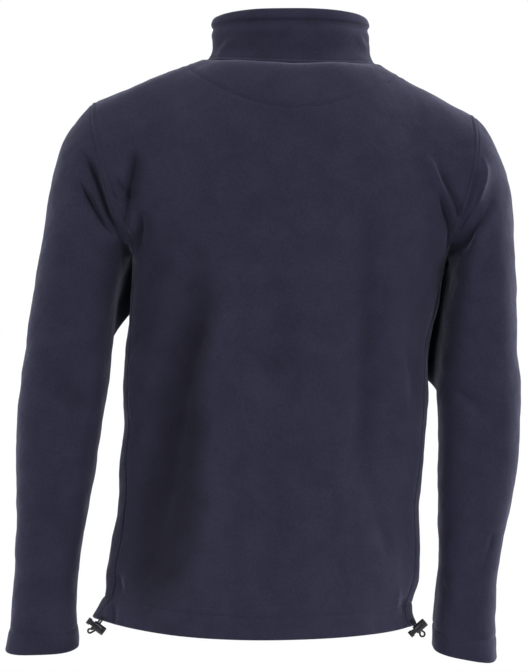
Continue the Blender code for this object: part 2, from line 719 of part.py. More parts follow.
def slider_place():
    """The slider's point on the chain's face, on the front of the collar."""
    shares = [row.share for row in COLLAR]
    share = SLIDER_HEIGHT / (COLLAR_TOP_FRONT_Z - NECK_FRONT_Z)
    points = collar_points(np.array([math.pi]), 0.0)[:, 0]
    point = smooth_through(shares, points, np.array([share]))[0]
    point[1] += COLLAR_WALL + TAPE_CLEARANCE - SEAM_GAP - CHAIN_THICK
    return Vector(point)


def add_box(work, size, centre):
    """A box of a size at a centre, both in millimetres."""
    made = bmesh.ops.create_cube(work, size=1.0)
    bmesh.ops.scale(work, vec=size, verts=made["verts"])
    bmesh.ops.translate(work, vec=centre, verts=made["verts"])


def solid_from_boxes(name, boxes, place, material):
    """One solid that is the union of boxes, set at a place."""
    pieces = []
    for number, (size, centre) in enumerate(boxes):
        work = bmesh.new()
        add_box(work, size, centre)
        mesh = bpy.data.meshes.new(f"{name}_{number}")
        bmesh.ops.scale(work, vec=(MM, MM, MM), verts=work.verts)
        work.to_mesh(mesh)
        work.free()
        pieces.append(bpy.data.objects.new(f"{name}_{number}", mesh))
        pieces[-1].location = place * MM
    first, others = pieces[0], pieces[1:]
    first.name = name
    first.data.materials.append(material)
    bpy.data.collections[COLLECTION].objects.link(first)
    for other in others:
        add_boolean(first, other, "UNION")
    return first


def add_boolean(piece, tool, operation):
    """Join a tool to a piece, or cut it away, and hide the tool."""
    bpy.data.collections["cutters"].objects.link(tool)
    tool.hide_render = True
    tool.display_type = "WIRE"
    modifier = piece.modifiers.new(tool.name, "BOOLEAN")
    modifier.operation = operation
    modifier.object = tool


def make_slider(metal):
    """The slider: a plate over the chain, two flanges and the pull's bridge."""
    plate_y = -(SEAM_GAP + SLIDER_PLATE / 2)
    flange_x = CHAIN_WIDTH / 2 + SEAM_GAP + SLIDER_FLANGE / 2
    flange_deep = CHAIN_THICK + SLIDER_PLATE / 2
    top = -(SEAM_GAP + SLIDER_PLATE)
    boxes = [((SLIDER_WIDTH, SLIDER_PLATE, SLIDER_LENGTH), (0, plate_y, 0))]
    for sign in (1, -1):
        centre = (sign * flange_x, plate_y + flange_deep / 2, 0)
        boxes.append(((SLIDER_FLANGE, flange_deep, SLIDER_LENGTH - 1), centre))
    for sign in (1, -1):
        boxes.append(((BRIDGE_WIDTH, BRIDGE_RISE + 1, BRIDGE_WIDTH), (0, top - BRIDGE_RISE / 2 + 0.5, sign * BRIDGE_SPAN / 2)))
    beam = (BRIDGE_WIDTH, BRIDGE_BEAM, BRIDGE_SPAN + BRIDGE_WIDTH)
    boxes.append((beam, (0, top - BRIDGE_RISE - BRIDGE_BEAM / 2 + 0.2, 0)))
    return solid_from_boxes("zip_slider", boxes, slider_place(), metal)


def make_pull(metal):
    """The pull tab, hung by its top bar under the slider's bridge."""
    axis = slider_place() + Vector((0, -(SEAM_GAP + SLIDER_PLATE + PULL_AXIS_RISE), 0))
    bar = (PULL_WIDTH, PULL_THICK, PULL_THICK)
    arm = (PULL_ARM, PULL_THICK, PULL_WINDOW + 2)
    body = (PULL_WIDTH, PULL_THICK, PULL_LENGTH - PULL_WINDOW)
    boxes = [(bar, (0, 0, 0))]
    for sign in (1, -1):
        boxes.append((arm, (sign * (PULL_WIDTH - PULL_ARM) / 2, 0, -arm[2] / 2 + 0.4)))
    boxes.append((body, (0, 0, -PULL_WINDOW - body[2] / 2)))
    return solid_from_boxes("zip_pull", boxes, axis, metal)


def lock_matrix(place):
    """The lock's frame: X towards its plunger's head, Z up along the cord."""
    lean = math.radians(place.lean)
    along = Vector((math.cos(lean), 0, math.sin(lean)))
    up = Vector((-math.sin(lean), 0, math.cos(lean)))
    turn = Matrix((along, Vector((0, 1, 0)), up)).transposed().to_4x4()
    return Matrix.Translation(Vector((place.x, place.y, place.z)) * MM) @ turn


def turned_solid(name, profile, place, material):
    """A turned solid about the lock's X axis from (x, radius) points."""
    steps = LOCK_SIDES
    turns = np.arange(steps) * 2 * math.pi / steps
    inside = profile[1:-1]
    points = [(profile[0][0], 0.0, 0.0)]
    for x, radius in inside:
        points += [(x, radius * math.cos(turn), radius * math.sin(turn)) for turn in turns]
    points.append((profile[-1][0], 0.0, 0.0))
    faces = []
    for step in range(steps):
        after = (step + 1) % steps
        faces.append((0, 1 + after, 1 + step))
        for ring in range(len(inside) - 1):
            low, high = 1 + ring * steps, 1 + (ring + 1) * steps
            faces.append((low + step, low + after, high + after, high + step))
        last = 1 + (len(inside) - 1) * steps
        faces.append((last + step, last + after, len(points) - 1))
    mesh = bpy.data.meshes.new(name)
    mesh.from_pydata([tuple(MM * value for value in point) for point in points], [], faces)
    piece = finish_object(name, mesh, material)
    piece.matrix_world = lock_matrix(place)
    return piece


def cut_slot(piece, low, high, width, place):
    """Cut the cord's way across a lock piece, between two places along it."""
    work = bmesh.new()
    add_box(work, (high - low, width, 40.0), ((low + high) / 2, 0, 0))
    bmesh.ops.scale(work, vec=(MM, MM, MM), verts=work.verts)
    mesh = bpy.data.meshes.new(f"{piece.name}_slot")
    work.to_mesh(mesh)
    work.free()
    tool = bpy.data.objects.new(f"{piece.name}_slot", mesh)
    tool.matrix_world = lock_matrix(place)
    add_boolean(piece, tool, "DIFFERENCE")


def make_lock(place, plastic):
    """A cord lock: a barrel with a blind bore and a plunger with its head."""
    strands = LOCK_STRAND_GAP / 2 + CORD_DIAMETER / 2
    bore = STEM_RADIUS + STEM_PLAY
    barrel = turned_solid(f"cord_lock_{place.side}", [
        (LOCK_END, 0), (LOCK_END, LOCK_RADIUS - LOCK_CHAMFER), (LOCK_END + LOCK_CHAMFER, LOCK_RADIUS),
        (LOCK_MOUTH - LOCK_MOUTH_CHAMFER, LOCK_RADIUS), (LOCK_MOUTH, LOCK_RADIUS - LOCK_MOUTH_CHAMFER),
        (LOCK_MOUTH, bore), (LOCK_END + LOCK_FLOOR, bore), (LOCK_END + LOCK_FLOOR, 0)], place, plastic)
    cut_slot(barrel, -strands - SLOT_PLAY / 2, strands + SLOT_PLAY / 2, CORD_DIAMETER + SLOT_PLAY, place)
    head, rim = LOCK_MOUTH + LOCK_TRAVEL + HEAD_GAP, LOCK_RADIUS - HEAD_INSET
    plunger = turned_solid(f"lock_plunger_{place.side}", [
        (-strands - STEM_TAIL, 0), (-strands - STEM_TAIL, STEM_RADIUS), (head, STEM_RADIUS), (head, rim),
        (head + HEAD_RIM, rim), (head + HEAD_THICK, rim - HEAD_CHAMFER), (head + HEAD_THICK, 0)], place, plastic)
    cut_slot(plunger, -strands - SLOT_PLAY / 3, strands + LOCK_TRAVEL + SLOT_PLAY / 2, CORD_DIAMETER + SLOT_PLAY,
             place)


def make_cord(place, braid):
    """The free loop of the drawcord, out of the hem and through its lock."""
    half = LOCK_STRAND_GAP / 2
    route = [(-half, 13.5), (-half, 0.0), (-half, -5.6), (-2.5, -7.6), (-CORD_LOOP, -10.0),
             (-2.2, -12.4), (0.0, -13.3)]
    route += [(-x, z) for x, z in route[-2::-1]]
    keys = np.concatenate([[0], np.cumsum(np.linalg.norm(np.diff(route, axis=0), axis=1))])
    count = int(keys[-1] / (2.2 * CORD_DIAMETER)) + 14
    points = smooth_through(keys, route, np.linspace(0, keys[-1], count))
    curve = bpy.data.curves.new(f"drawcord_{place.side}", "CURVE")
    curve.dimensions = "3D"
    curve.bevel_depth = CORD_DIAMETER / 2 * MM
    curve.bevel_resolution = 2
    curve.use_fill_caps = True
    spline = curve.splines.new("POLY")
    spline.points.add(len(points) - 1)
    for point, (x, z) in zip(spline.points, points):
        point.co = (x * MM, 0.0, z * MM, 1.0)
    curve.materials.append(braid)
    cord = bpy.data.objects.new(f"drawcord_{place.side}", curve)
    cord.matrix_world = lock_matrix(place)
    bpy.data.collections[COLLECTION].objects.link(cord)


def main():
    """Clear the scene and build the jacket."""
    for piece in list(bpy.data.objects):
        bpy.data.objects.remove(piece)
    for name in (COLLECTION, "cutters"):
        group = bpy.data.collections.new(name)
        bpy.context.scene.collection.children.link(group)
    fleece = paint("fleece", (0.028, 0.027, 0.047), 0.95)
    tape = paint("zip_tape", (0.018, 0.018, 0.032), 0.85)
    teeth = paint("zip_teeth", (0.012, 0.012, 0.02), 0.45)
    metal = paint("zip_metal", (0.03, 0.03, 0.045), 0.4, 0.6)
    plastic = paint("lock_plastic", (0.008, 0.008, 0.014), 0.35)
    braid = paint("cord_braid", (0.015, 0.015, 0.028), 0.8)

    half = np.arange(HALF_COLUMNS + 1) / HALF_COLUMNS
    make_panel("back_panel", np.concatenate([-half[::-1][:-1], half]), False, fleece)
    make_panel("front_left", half, True, fleece)
    make_panel("front_right", -half[::-1], True, fleece)
    make_sleeve("sleeve_left", SLEEVE_LEFT, fleece)
    make_sleeve("sleeve_right", SLEEVE_RIGHT, fleece)
    make_collar(fleece)
    make_zip(tape, teeth)
    make_slider(metal)
    make_pull(metal)
    for place in LOCKS:
        make_lock(place, plastic)
        make_cord(place, braid)


main()
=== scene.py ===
"""Dresses the fleece zip jacket: cloth, seams, stitches, zip, cords and studio.

Metres, +Z up. The front faces -Y and the wearer's left is +X. Tables are in
millimetres, in the frame whose origin is the middle of the collar seam.
"""
from __future__ import annotations

import logging
import math
from dataclasses import dataclass, field
from enum import Enum
from functools import cached_property
from typing import Callable, NamedTuple, Sequence

import bpy
import numpy as np
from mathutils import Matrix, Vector

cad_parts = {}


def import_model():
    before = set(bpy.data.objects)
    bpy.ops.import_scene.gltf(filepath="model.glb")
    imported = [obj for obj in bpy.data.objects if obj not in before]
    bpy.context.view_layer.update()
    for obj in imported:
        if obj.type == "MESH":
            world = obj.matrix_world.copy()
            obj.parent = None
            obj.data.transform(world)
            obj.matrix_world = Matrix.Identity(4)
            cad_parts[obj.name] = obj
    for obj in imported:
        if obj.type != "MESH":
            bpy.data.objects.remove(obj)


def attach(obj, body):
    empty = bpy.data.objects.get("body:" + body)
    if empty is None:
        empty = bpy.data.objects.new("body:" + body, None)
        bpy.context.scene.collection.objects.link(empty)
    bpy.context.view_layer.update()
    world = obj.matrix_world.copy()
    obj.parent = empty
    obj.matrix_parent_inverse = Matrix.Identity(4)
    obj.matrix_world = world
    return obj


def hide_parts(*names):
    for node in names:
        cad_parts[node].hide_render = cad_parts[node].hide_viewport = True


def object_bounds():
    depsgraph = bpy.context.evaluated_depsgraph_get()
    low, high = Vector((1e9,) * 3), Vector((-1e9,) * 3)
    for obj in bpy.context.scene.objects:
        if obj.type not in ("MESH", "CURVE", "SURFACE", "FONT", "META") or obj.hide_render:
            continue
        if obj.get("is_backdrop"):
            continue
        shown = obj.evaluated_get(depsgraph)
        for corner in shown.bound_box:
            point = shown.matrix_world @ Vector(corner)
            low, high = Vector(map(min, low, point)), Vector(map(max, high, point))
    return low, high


LOG = logging.getLogger("fleece_jacket")
Array = np.ndarray
Object = bpy.types.Object
Node = bpy.types.Node
Socket = bpy.types.NodeSocket
Triple = tuple[float, float, float]
MM = 0.001
SHARP = math.radians(50)
MOST_SHADE = 1.7       # the most that the painted-shade attribute holds
TAPER = 4.5         # how soon a fold fades at its ends
EDGE_ROUND = 0.94   # how nearly a cloth's edge is a half circle
CREASE_CORE = 0.8   # how round a crease is at its line


# ------------ curves


def ease(share: Array) -> Array:
    """Rises smoothly from 0 to 1 as share does."""
    share = np.clip(share, 0.0, 1.0)
    return share * share * (3 - 2 * share)


def bump(distance: Array, width: float) -> Array:
    """A bell: 1 on the line, falling to 0 a few widths away."""
    return np.exp(-(distance / width)**2)


def unit(vectors: Array) -> Array:
    """Vectors at length 1."""
    return vectors / np.maximum(np.linalg.norm(vectors, axis=-1, keepdims=True), 1e-12)


def smooth_through(keys: Sequence[float], values: Sequence, at: Array) -> Array:
    """A cubic curve through each key's value.

    Args:
        keys: rising places along the curve.
        values: a number or a point for each key.
        at: where to read the curve.

    Returns:
        The curve's values, one for each place.
    """
    keys = np.asarray(keys, float)
    values = np.asarray(values, float)
    at = np.clip(np.asarray(at, float), keys[0], keys[-1])
    slopes = np.gradient(values, keys, axis=0)
    low = np.clip(np.searchsorted(keys, at, side="right") - 1, 0, len(keys) - 2)
    step = keys[low + 1] - keys[low]
    q = (at - keys[low]) / step
    if values.ndim > 1:
        q, step = q[:, None], step[:, None]
    rise = 3 * q**2 - 2 * q**3
    return (values[low] * (1 - rise) + values[low + 1] * rise
            + slopes[low] * step * (q**3 - 2 * q**2 + q)
            + slopes[low + 1] * step * (q**3 - q**2))


def smooth_path(path: Sequence, samples: int) -> Array:
    """Points along a smooth path through some others."""
    return smooth_through(np.arange(len(path)), path, np.linspace(0, len(path) - 1, samples))


def run_of(points: Array) -> Array:
    """Length along a line, from its first point to each of its points."""
    return np.concatenate([[0], np.cumsum(np.linalg.norm(np.diff(points, axis=0), axis=1))])


def read_at(places: Array, run: Array, line: Array) -> Array:
    """A line's points or vectors at some lengths along it."""
    return np.stack([np.interp(places, run, line[:, k]) for k in range(3)], axis=-1)


def tapered(along: Array) -> Array:
    """1 along the middle of a path, falling to 0 at both its ends."""
    return np.clip(TAPER * along * (1 - along), 0, 1)


def ripple(points: Array, waves: Sequence[tuple[float, float, float, float]]) -> Array:
    """Soft unevenness of cloth: a sum of slanted sine waves.

    Args:
        points: an array of points, in millimetres.
        waves: for each wave its length, its height, its slant and its phase.

    Returns:
        The height at each point, in millimetres.
    """
    x, y, z = points[..., 0], points[..., 1], points[..., 2]
    total = np.zeros(points.shape[:-1])
    for length, height, slant, phase in waves:
        turn = 2 * math.pi / length
        total += height * np.sin(turn * (x * math.cos(slant) + z * math.sin(slant)) + phase
                                 + 1.7 * np.sin(turn * 0.6 * (z * math.cos(slant) - y) + 2 * phase))
    return total


# ------------ the cut


class TorsoRow(NamedTuple):
    """A level section of the body: widest places, side seam and depths."""

    z: float
    left: float
    right: float
    strip: float
    seam_y: float
    back_y: float
    front_y: float


class SleeveRow(NamedTuple):
    """A slanted section of a sleeve, from its outer to its inner side."""

    outer_x: float
    outer_z: float
    inner_x: float
    inner_z: float
    outer_y: float
    inner_y: float
    back: float
    front: float
    tilt: float

    @property
    def outer(self) -> Array:
        """The outermost point."""
        return np.stack([self.outer_x, self.outer_y, self.outer_z], axis=-1)

    @property
    def inner(self) -> Array:
        """The innermost point."""
        return np.stack([self.inner_x, self.inner_y, self.inner_z], axis=-1)


class CollarRow(NamedTuple):
    """How far the collar stands out from a straight wall at one height."""

    share: float
    out: float


class Fold(NamedTuple):
    """A trough or ridge: its height, half-width and path seen from behind."""

    height: float
    width: float
    path: tuple

    def profile(self, away: Array) -> Array:
        """Its section: a bell exp(-(d/w)^2) of the distance from its path."""
        return bump(away, self.width)

    def relief(self, flat: Array, samples: int = 60) -> Array:
        """The fold's height: its section across its path, tapered along it."""
        away, along = path_distance(flat, self.path, samples)
        return self.height * self.profile(away) * tapered(along)


TORSO = tuple(TorsoRow(*row) for row in (
    (-666, 238, -152, 9, 20, 112, -128),
    (-654, 231.5, -147, 9, 20, 110, -129),
    (-638, 224, -148, 9, 21, 108, -130),
    (-610, 221, -155, 8, 22, 105, -130),
    (-574, 214, -157, 8, 23, 103, -130),
    (-526, 206, -155, 7, 25, 101, -131),
    (-478, 204, -160, 7, 26, 99, -133),
    (-430, 199, -165, 7, 26, 98, -136),
    (-382, 201, -166, 6.5, 25, 100, -140),
    (-346, 198, -167, 6, 22, 104, -144),
    (-298, 193, -177, 4, 17, 110, -148),
    (-262, 191, -183, 2.5, 13, 113, -149),
    (-230, 190, -189, 1.5, 10, 114, -148),
))

SLEEVE_LEFT = tuple(SleeveRow(*row) for row in (
    (238, -51, 188.5, -232, 0, 10, 68, 94, 0),
    (253, -67, 193.5, -238, 0, 9, 68, 90, 0),
    (269, -93, 196.5, -246, -1, 7, 69, 86, 0),
    (281, -127, 200, -256, -2, 4, 70, 82, 0),
    (291, -180, 203.5, -268, -4, 1, 71, 78, 0),
    (301, -236, 207, -282, -6, -3, 71, 74, 0),
    (311, -300, 210.5, -305, -8, -8, 69, 69, 0),
    (317, -345, 214, -340, -9, -9, 65, 65, 0),
    (324, -388, 218, -382, -11, -11, 60, 60, 1),
    (328, -442, 228, -442, -16, -16, 55, 55, 2),
    (330, -500, 237, -500, -22, -22, 50, 50, 4),
    (330, -557, 247, -557, -29, -29, 46, 46, 5),
    (334, -614, 257, -614, -36, -36, 43, 43, 6),
    (338, -656, 259, -655, -41, -41, 41, 41, 6),
    (341, -682, 258, -680, -43, -43, 41, 41, 6),
    (346, -708, 257, -705, -46, -46, 43, 43, 6),
))

SLEEVE_RIGHT = tuple(SleeveRow(*row) for row in (
    (-221, -66, -187.5, -229, 0, 10, 68, 94, 0),
    (-235, -82, -192, -236, -1, 8, 68, 90, 0),
    (-247, -104, -193.5, -244, -3, 4, 70, 86, 0),
    (-259, -136, -193.5, -255, -6, -1, 72, 83, 0),
    (-267, -184, -192, -268, -10, -8, 73, 80, 0),
    (-270, -238, -189, -283, -14, -14, 74, 78, 0),
    (-273, -300, -185, -305, -19, -19, 73, 74, 0),
    (-274, -345, -181, -345, -22, -22, 69, 69, 0),
    (-278, -396, -178, -390, -24, -24, 62, 62, 1),
    (-278, -440, -180, -436, -26, -26, 56, 56, 2),
    (-273, -500, -179.5, -498, -30, -30, 51, 51, 4),
    (-261, -560, -180, -555, -35, -35, 47, 47, 5),
    (-252, -619, -180.5, -612, -40, -40, 44, 44, 6),
    (-249, -664, -177.5, -652, -44, -44, 42, 42, 6),
    (-250, -692, -174, -680, -46, -46, 42, 42, 6),
    (-252, -720, -174, -706, -48, -48, 43, 43, 6),
))

COLLAR_ROWS = tuple(CollarRow(*row) for row in (
    (0.00, 0.0),
    (0.08, -3.6),
    (0.20, -5.6),
    (0.45, -3.8),
    (0.64, -1.6),
    (0.74, -2.2),
    (0.82, 0.9),
    (0.93, 1.2),
    (1.00, 0.0),
))

BACK_FOLDS = tuple(Fold(*row) for row in (
    (-3.2, 9, ((97, -265), (112, -331), (125, -376), (142, -450), (157, -526), (177, -616))),
    (-13.0, 31, ((100, -200), (108, -260), (120, -320), (138, -400), (154, -480), (172, -560), (186, -630),
                 (198, -690))),
    (-10.5, 38, ((112, -380), (119, -460), (128, -530), (139, -590), (150, -640), (163, -740))),
    (9.0, 30, ((34, -360), (43, -450), (52, -540), (61, -620), (72, -740))),
    (7.0, 24, ((50, -200), (55, -280), (60, -345), (74, -480), (86, -600))),
    (-4.0, 17, ((27, -150), (25, -300), (23, -450), (25, -600), (25, -720))),
    (3.5, 18, ((-14, -150), (-16, -350), (-18, -500), (-20, -720))),
    (3.0, 18, ((-36, -200), (-44, -310), (-49, -380), (-59, -530), (-64, -620))),
    (-7.0, 17, ((-88, -150), (-94, -279), (-92, -395), (-86, -540))),
    (6.0, 14, ((-114, -190), (-124, -300), (-131, -395), (-138, -520))),
    (-3.0, 10, ((-131, -318), (-142, -369), (-151, -425))),
    (-2.5, 9, ((-92, -481), (-112, -570), (-131, -601))),
    (-2.5, 15, ((133, -155), (143, -194), (164, -279))),
    (2.5, 11, ((132, -101), (152, -150), (158, -178))),
    (-4.0, 9, ((182, -109), (184, -131), (190, -156), (195, -197))),
    (-3.5, 9, ((178, -178), (180, -207), (185, -236))),
    (3.5, 9, ((-159, -109), (-169, -127), (-180, -150), (-194, -191))),
    (-3.5, 9, ((-176, -125), (-187, -158), (-194, -185))),
    (-2.5, 12, ((-153, -110), (-160, -165))),
    (-5.0, 10, ((245, -107), (235, -130), (224, -151), (215, -183), (203, -212))),
    (-4.0, 9, ((256, -130), (242, -157), (232, -181), (218, -205))),
    (4.5, 9, ((-228, -122), (-229, -142), (-215, -189), (-200, -218))),
    (-5.0, 9, ((-228, -165), (-212, -207), (-200, -232))),
    (3.5, 9, ((-240, -172), (-231, -195), (-215, -228))),
    (-4.0, 14, ((290, -370), (262, -400), (240, -425))),
    (-3.5, 12, ((-200, -395), (-225, -412), (-250, -440))),
    (3.0, 9, ((-186, -618), (-200, -650))),
))

FRONT_FOLDS = tuple(Fold(*row) for row in (
    (-5.0, 15, ((120, -190), (130, -300), (138, -420), (150, -560), (160, -620))),
    (3.0, 18, ((70, -200), (82, -360), (92, -560))),
    (-4.0, 14, ((-100, -190), (-98, -330), (-88, -460), (-84, -600))),
    (3.0, 18, ((-55, -240), (-52, -400), (-40, -580))),
    (-5.0, 10, ((160, -120), (172, -160), (184, -205))),
    (3.5, 10, ((142, -125), (156, -170), (170, -215))),
    (-5.0, 10, ((-150, -125), (-165, -165), (-182, -205))),
    (3.5, 10, ((-134, -130), (-148, -175), (-165, -220))),
    (-4.5, 10, ((258, -120), (244, -155), (225, -190), (208, -215))),
    (-4.5, 10, ((-238, -130), (-228, -165), (-212, -200))),
    (-4.0, 14, ((292, -360), (262, -392), (240, -410))),
    (-4.0, 13, ((-250, -370), (-225, -400), (-202, -415))),
))


class Crease(Fold):
    """A sharp crease: the same columns as a fold's."""

    def profile(self, away: Array) -> Array:
        """Its section: exp(-d/w) with a small round core."""
        return np.exp(-(np.sqrt(away**2 + CREASE_CORE**2) - CREASE_CORE) / self.width)


BACK_CREASES = tuple(Crease(*row) for row in (
    (-13.0, 4.4, ((250, -104), (243, -121), (234, -139), (228, -154), (223, -166), (216, -181), (207, -196),
                  (201, -208), (192, -232), (187, -242))),
    (4.0, 6.0, ((256, -126), (246, -146), (236, -162), (224, -184), (211, -202))),
    (-9.0, 4.0, ((253, -141), (246, -157), (237, -173), (228, -187), (219, -200), (207, -211))),
    (-11.0, 3.8, ((185, -101), (189, -121), (192, -139), (195, -157), (197, -175), (200, -199))),
    (-6.0, 3.2, ((209, -139), (202, -151), (195, -160), (194, -166))),
    (3.5, 5.0, ((190, -170), (191, -190), (192, -215))),
    (-8.0, 4.0, ((179, -178), (181, -202), (185, -220), (187, -240))),
    (2.4, 2.6, ((222, -160), (217, -166), (211, -165), (207, -172), (200, -180))),
    (-2.4, 2.6, ((218, -158), (212, -160), (206, -167), (202, -172))),
    (4.5, 5.0, ((-166, -114), (-173, -129), (-182, -147), (-189, -163), (-196, -182))),
    (-6.0, 3.6, ((-171, -112), (-178, -126), (-187, -147), (-198, -168), (-204, -190), (-200, -208))),
    (-12.0, 4.2, ((-176, -154), (-182, -166), (-187, -182), (-192, -199), (-193, -217), (-190, -238),
                  (-187, -249))),
    (-7.0, 3.6, ((-226, -146), (-223, -171), (-214, -185), (-203, -203), (-196, -214))),
    (6.5, 4.0, ((-232, -112), (-234, -129), (-231, -149), (-225, -168), (-213, -189), (-198, -215))),
    (-9.0, 4.0, ((-244, -164), (-235, -182), (-224, -198), (-210, -214), (-196, -229), (-187, -245))),
    (2.6, 5.0, ((-150, -150), (-154, -162), (-162, -178), (-166, -188))),
    (-3.2, 4.0, ((-150, -154), (-161, -175), (-168, -182))),
    (-2.5, 3.5, ((-245, -562), (-240, -585), (-230, -608))),
    (-3.5, 4.0, ((212, -612), (209, -626), (205, -637))),
    (3.0, 4.0, ((204, -614), (203, -626), (202, -638))),
    (-3.4, 2.6, ((215, -648), (213, -660), (213, -676))),
    (2.4, 2.6, ((219, -648), (218, -660), (219, -676))),
    (2.2, 2.6, ((206, -655), (205, -664), (205, -676))),
    (2.5, 4.0, ((-132, -628), (-128, -646), (-128, -660))),
    (-3.0, 4.0, ((-136, -640), (-137, -652), (-135, -661))),
    (-2.5, 5.0, ((-180, -619), (-188, -634), (-196, -652))),
    (-3.0, 5.0, ((300, -392), (280, -402), (262, -417), (244, -432))),
    (-2.5, 5.0, ((-188, -386), (-205, -398), (-228, -414))),
))

COLLAR_FOLDS = tuple(Fold(*row) for row in (
    (1.6, 4.5, ((67, 25), (78, 16), (89, 9))),
    (-1.4, 4.0, ((76, 27), (86, 16), (94, 6))),
    (1.5, 4.5, ((-79, 30), (-86, 21), (-94, 11))),
    (-1.3, 4.0, ((-88, 31), (-94, 20))),
    (-1.0, 7.0, ((48, 26), (27, 22), (5, 20))),
))

HALF_MOON = ((124, -6), (117, -10), (101, -20), (84, -29), (61, -39), (30, -49), (0, -53),
             (-34, -51), (-62, -45), (-84, -38), (-104, -29), (-122, -22), (-131, -18))


@dataclass(frozen=True)
class Frame:
    """A small part's own X, Y and Z axes, one in each row, about its own origin."""

    origin: Triple
    axes: tuple

    def world(self, points: Array) -> Array:
        """Points of this frame in the jacket's frame."""
        return np.asarray(points) @ np.array(self.axes) + np.array(self.origin)


class LockPlace(NamedTuple):
    """Where a cord lock hangs, and which way its plunger points."""

    side: str
    x: float
    y: float
    z: float
    lean: float

    @property
    def frame(self) -> Frame:
        """The lock's axes: X towards its plunger's head, Z up along the cord."""
        cosine, sine = math.cos(math.radians(self.lean)), math.sin(math.radians(self.lean))
        return Frame((self.x, self.y, self.z), ((cosine, 0, sine), (0, 1, 0), (-sine, 0, cosine)))


LOCKS = (
    LockPlace("left", 230.0, 36.0, -673.0, 36.0),
    LockPlace("right", -151.4, 36.0, -675.0, -41.0),
)


class Side(Enum):
    """The wearer's sides."""

    LEFT = "left"
    RIGHT = "right"

    @property
    def sign(self) -> int:
        """+1 on the left, where x is positive, and -1 on the right."""
        return 1 if self is Side.LEFT else -1

    @property
    def sleeve(self) -> tuple[SleeveRow, ...]:
        """The side's sleeve sections."""
        return SLEEVE_LEFT if self is Side.LEFT else SLEEVE_RIGHT


class Face(Enum):
    """Which face of the body a panel makes, with its outward direction in y."""

    BACK = 1.0
    FRONT = -1.0


# ------------ the form


@dataclass(frozen=True)
class Neck:
    """The oval of the neck seam and of the collar's top edge."""

    half: float = 104.0
    tilt: float = 3.0
    offset: float = 2.0
    back_y: float = 58.0
    front_y: float = -88.0
    side_z: float = -1.0
    back_z: float = -7.0
    front_z: float = -48.0
    point_turn: float = math.radians(80.0)
    top_half: float = 92.5
    top_back_y: float = 51.0
    top_front_y: float = -84.0
    top_back_z: float = 58.5
    top_side_z: float = 54.0
    top_front_z: float = 20.0
    front_calm: float = 0.5

    @property
    def middle_y(self) -> float:
        """The middle of the neck seam's oval."""
        return (self.back_y + self.front_y) / 2

    @staticmethod
    def halves(turn: Array) -> tuple[Array, Array]:
        """Whether a turn is behind, and how far it is round the front, 0 to 1."""
        return np.abs(turn) < math.pi / 2, ease((np.abs(turn) - math.pi / 2) / (math.pi / 2))

    def seam(self, turn: Array) -> Array:
        """The neck seam, by the turn from the centre back (0) to the front (pi).

        An ellipse seen from above, off to the right; z swings with cos^2
        behind, eases down in front and leans with the sine to the left.

        Args:
            turn: turns round the neck.

        Returns:
            The seam's points.
        """
        reach = (self.back_y - self.front_y) / 2
        behind, fall = self.halves(turn)
        behind = np.cos(turn)**2 * behind
        z = self.side_z + (self.back_z - self.side_z) * behind + (self.front_z - self.side_z) * fall
        z = z + self.tilt * np.sin(turn)
        x = self.half * np.sin(turn) - self.offset * np.sin(turn)**2
        return np.stack([x, self.middle_y + reach * np.cos(turn), z], axis=-1)

    def outward(self, points: Array) -> Array:
        """Level unit vectors away from the neck's axis.

        Args:
            points: points round the neck.

        Returns:
            A vector for each.
        """
        away = points - np.array([0.0, self.middle_y, 0.0])
        away[..., 2] = 0.0
        return unit(away)

    def collar(self, turns: Array, shares: Array) -> Array:
        """The collar's outer points: straight from seam to top, plus its profile.

        Args:
            turns: turns round the neck.
            shares: heights, 0 at the seam and 1 at the top.

        Returns:
            Points as rows of one height.
        """
        base = self.seam(turns)
        reach = (self.top_back_y - self.top_front_y) / 2
        middle = (self.top_back_y + self.top_front_y) / 2
        behind, fall = self.halves(turns)
        behind = (1 - np.sin(turns)**4) * behind
        top_z = (self.top_side_z + (self.top_back_z - self.top_side_z) * behind
                 + (self.top_front_z - self.top_side_z) * fall)
        top = np.stack([self.top_half * np.sin(turns), middle + reach * np.cos(turns), top_z], axis=-1)
        out = smooth_through(*zip(*COLLAR_ROWS), shares)
        calm = 1 - self.front_calm * fall
        return (base + (top - base) * shares[:, None, None]
                + (self.outward(base) * calm[:, None])[None] * out[:, None, None])


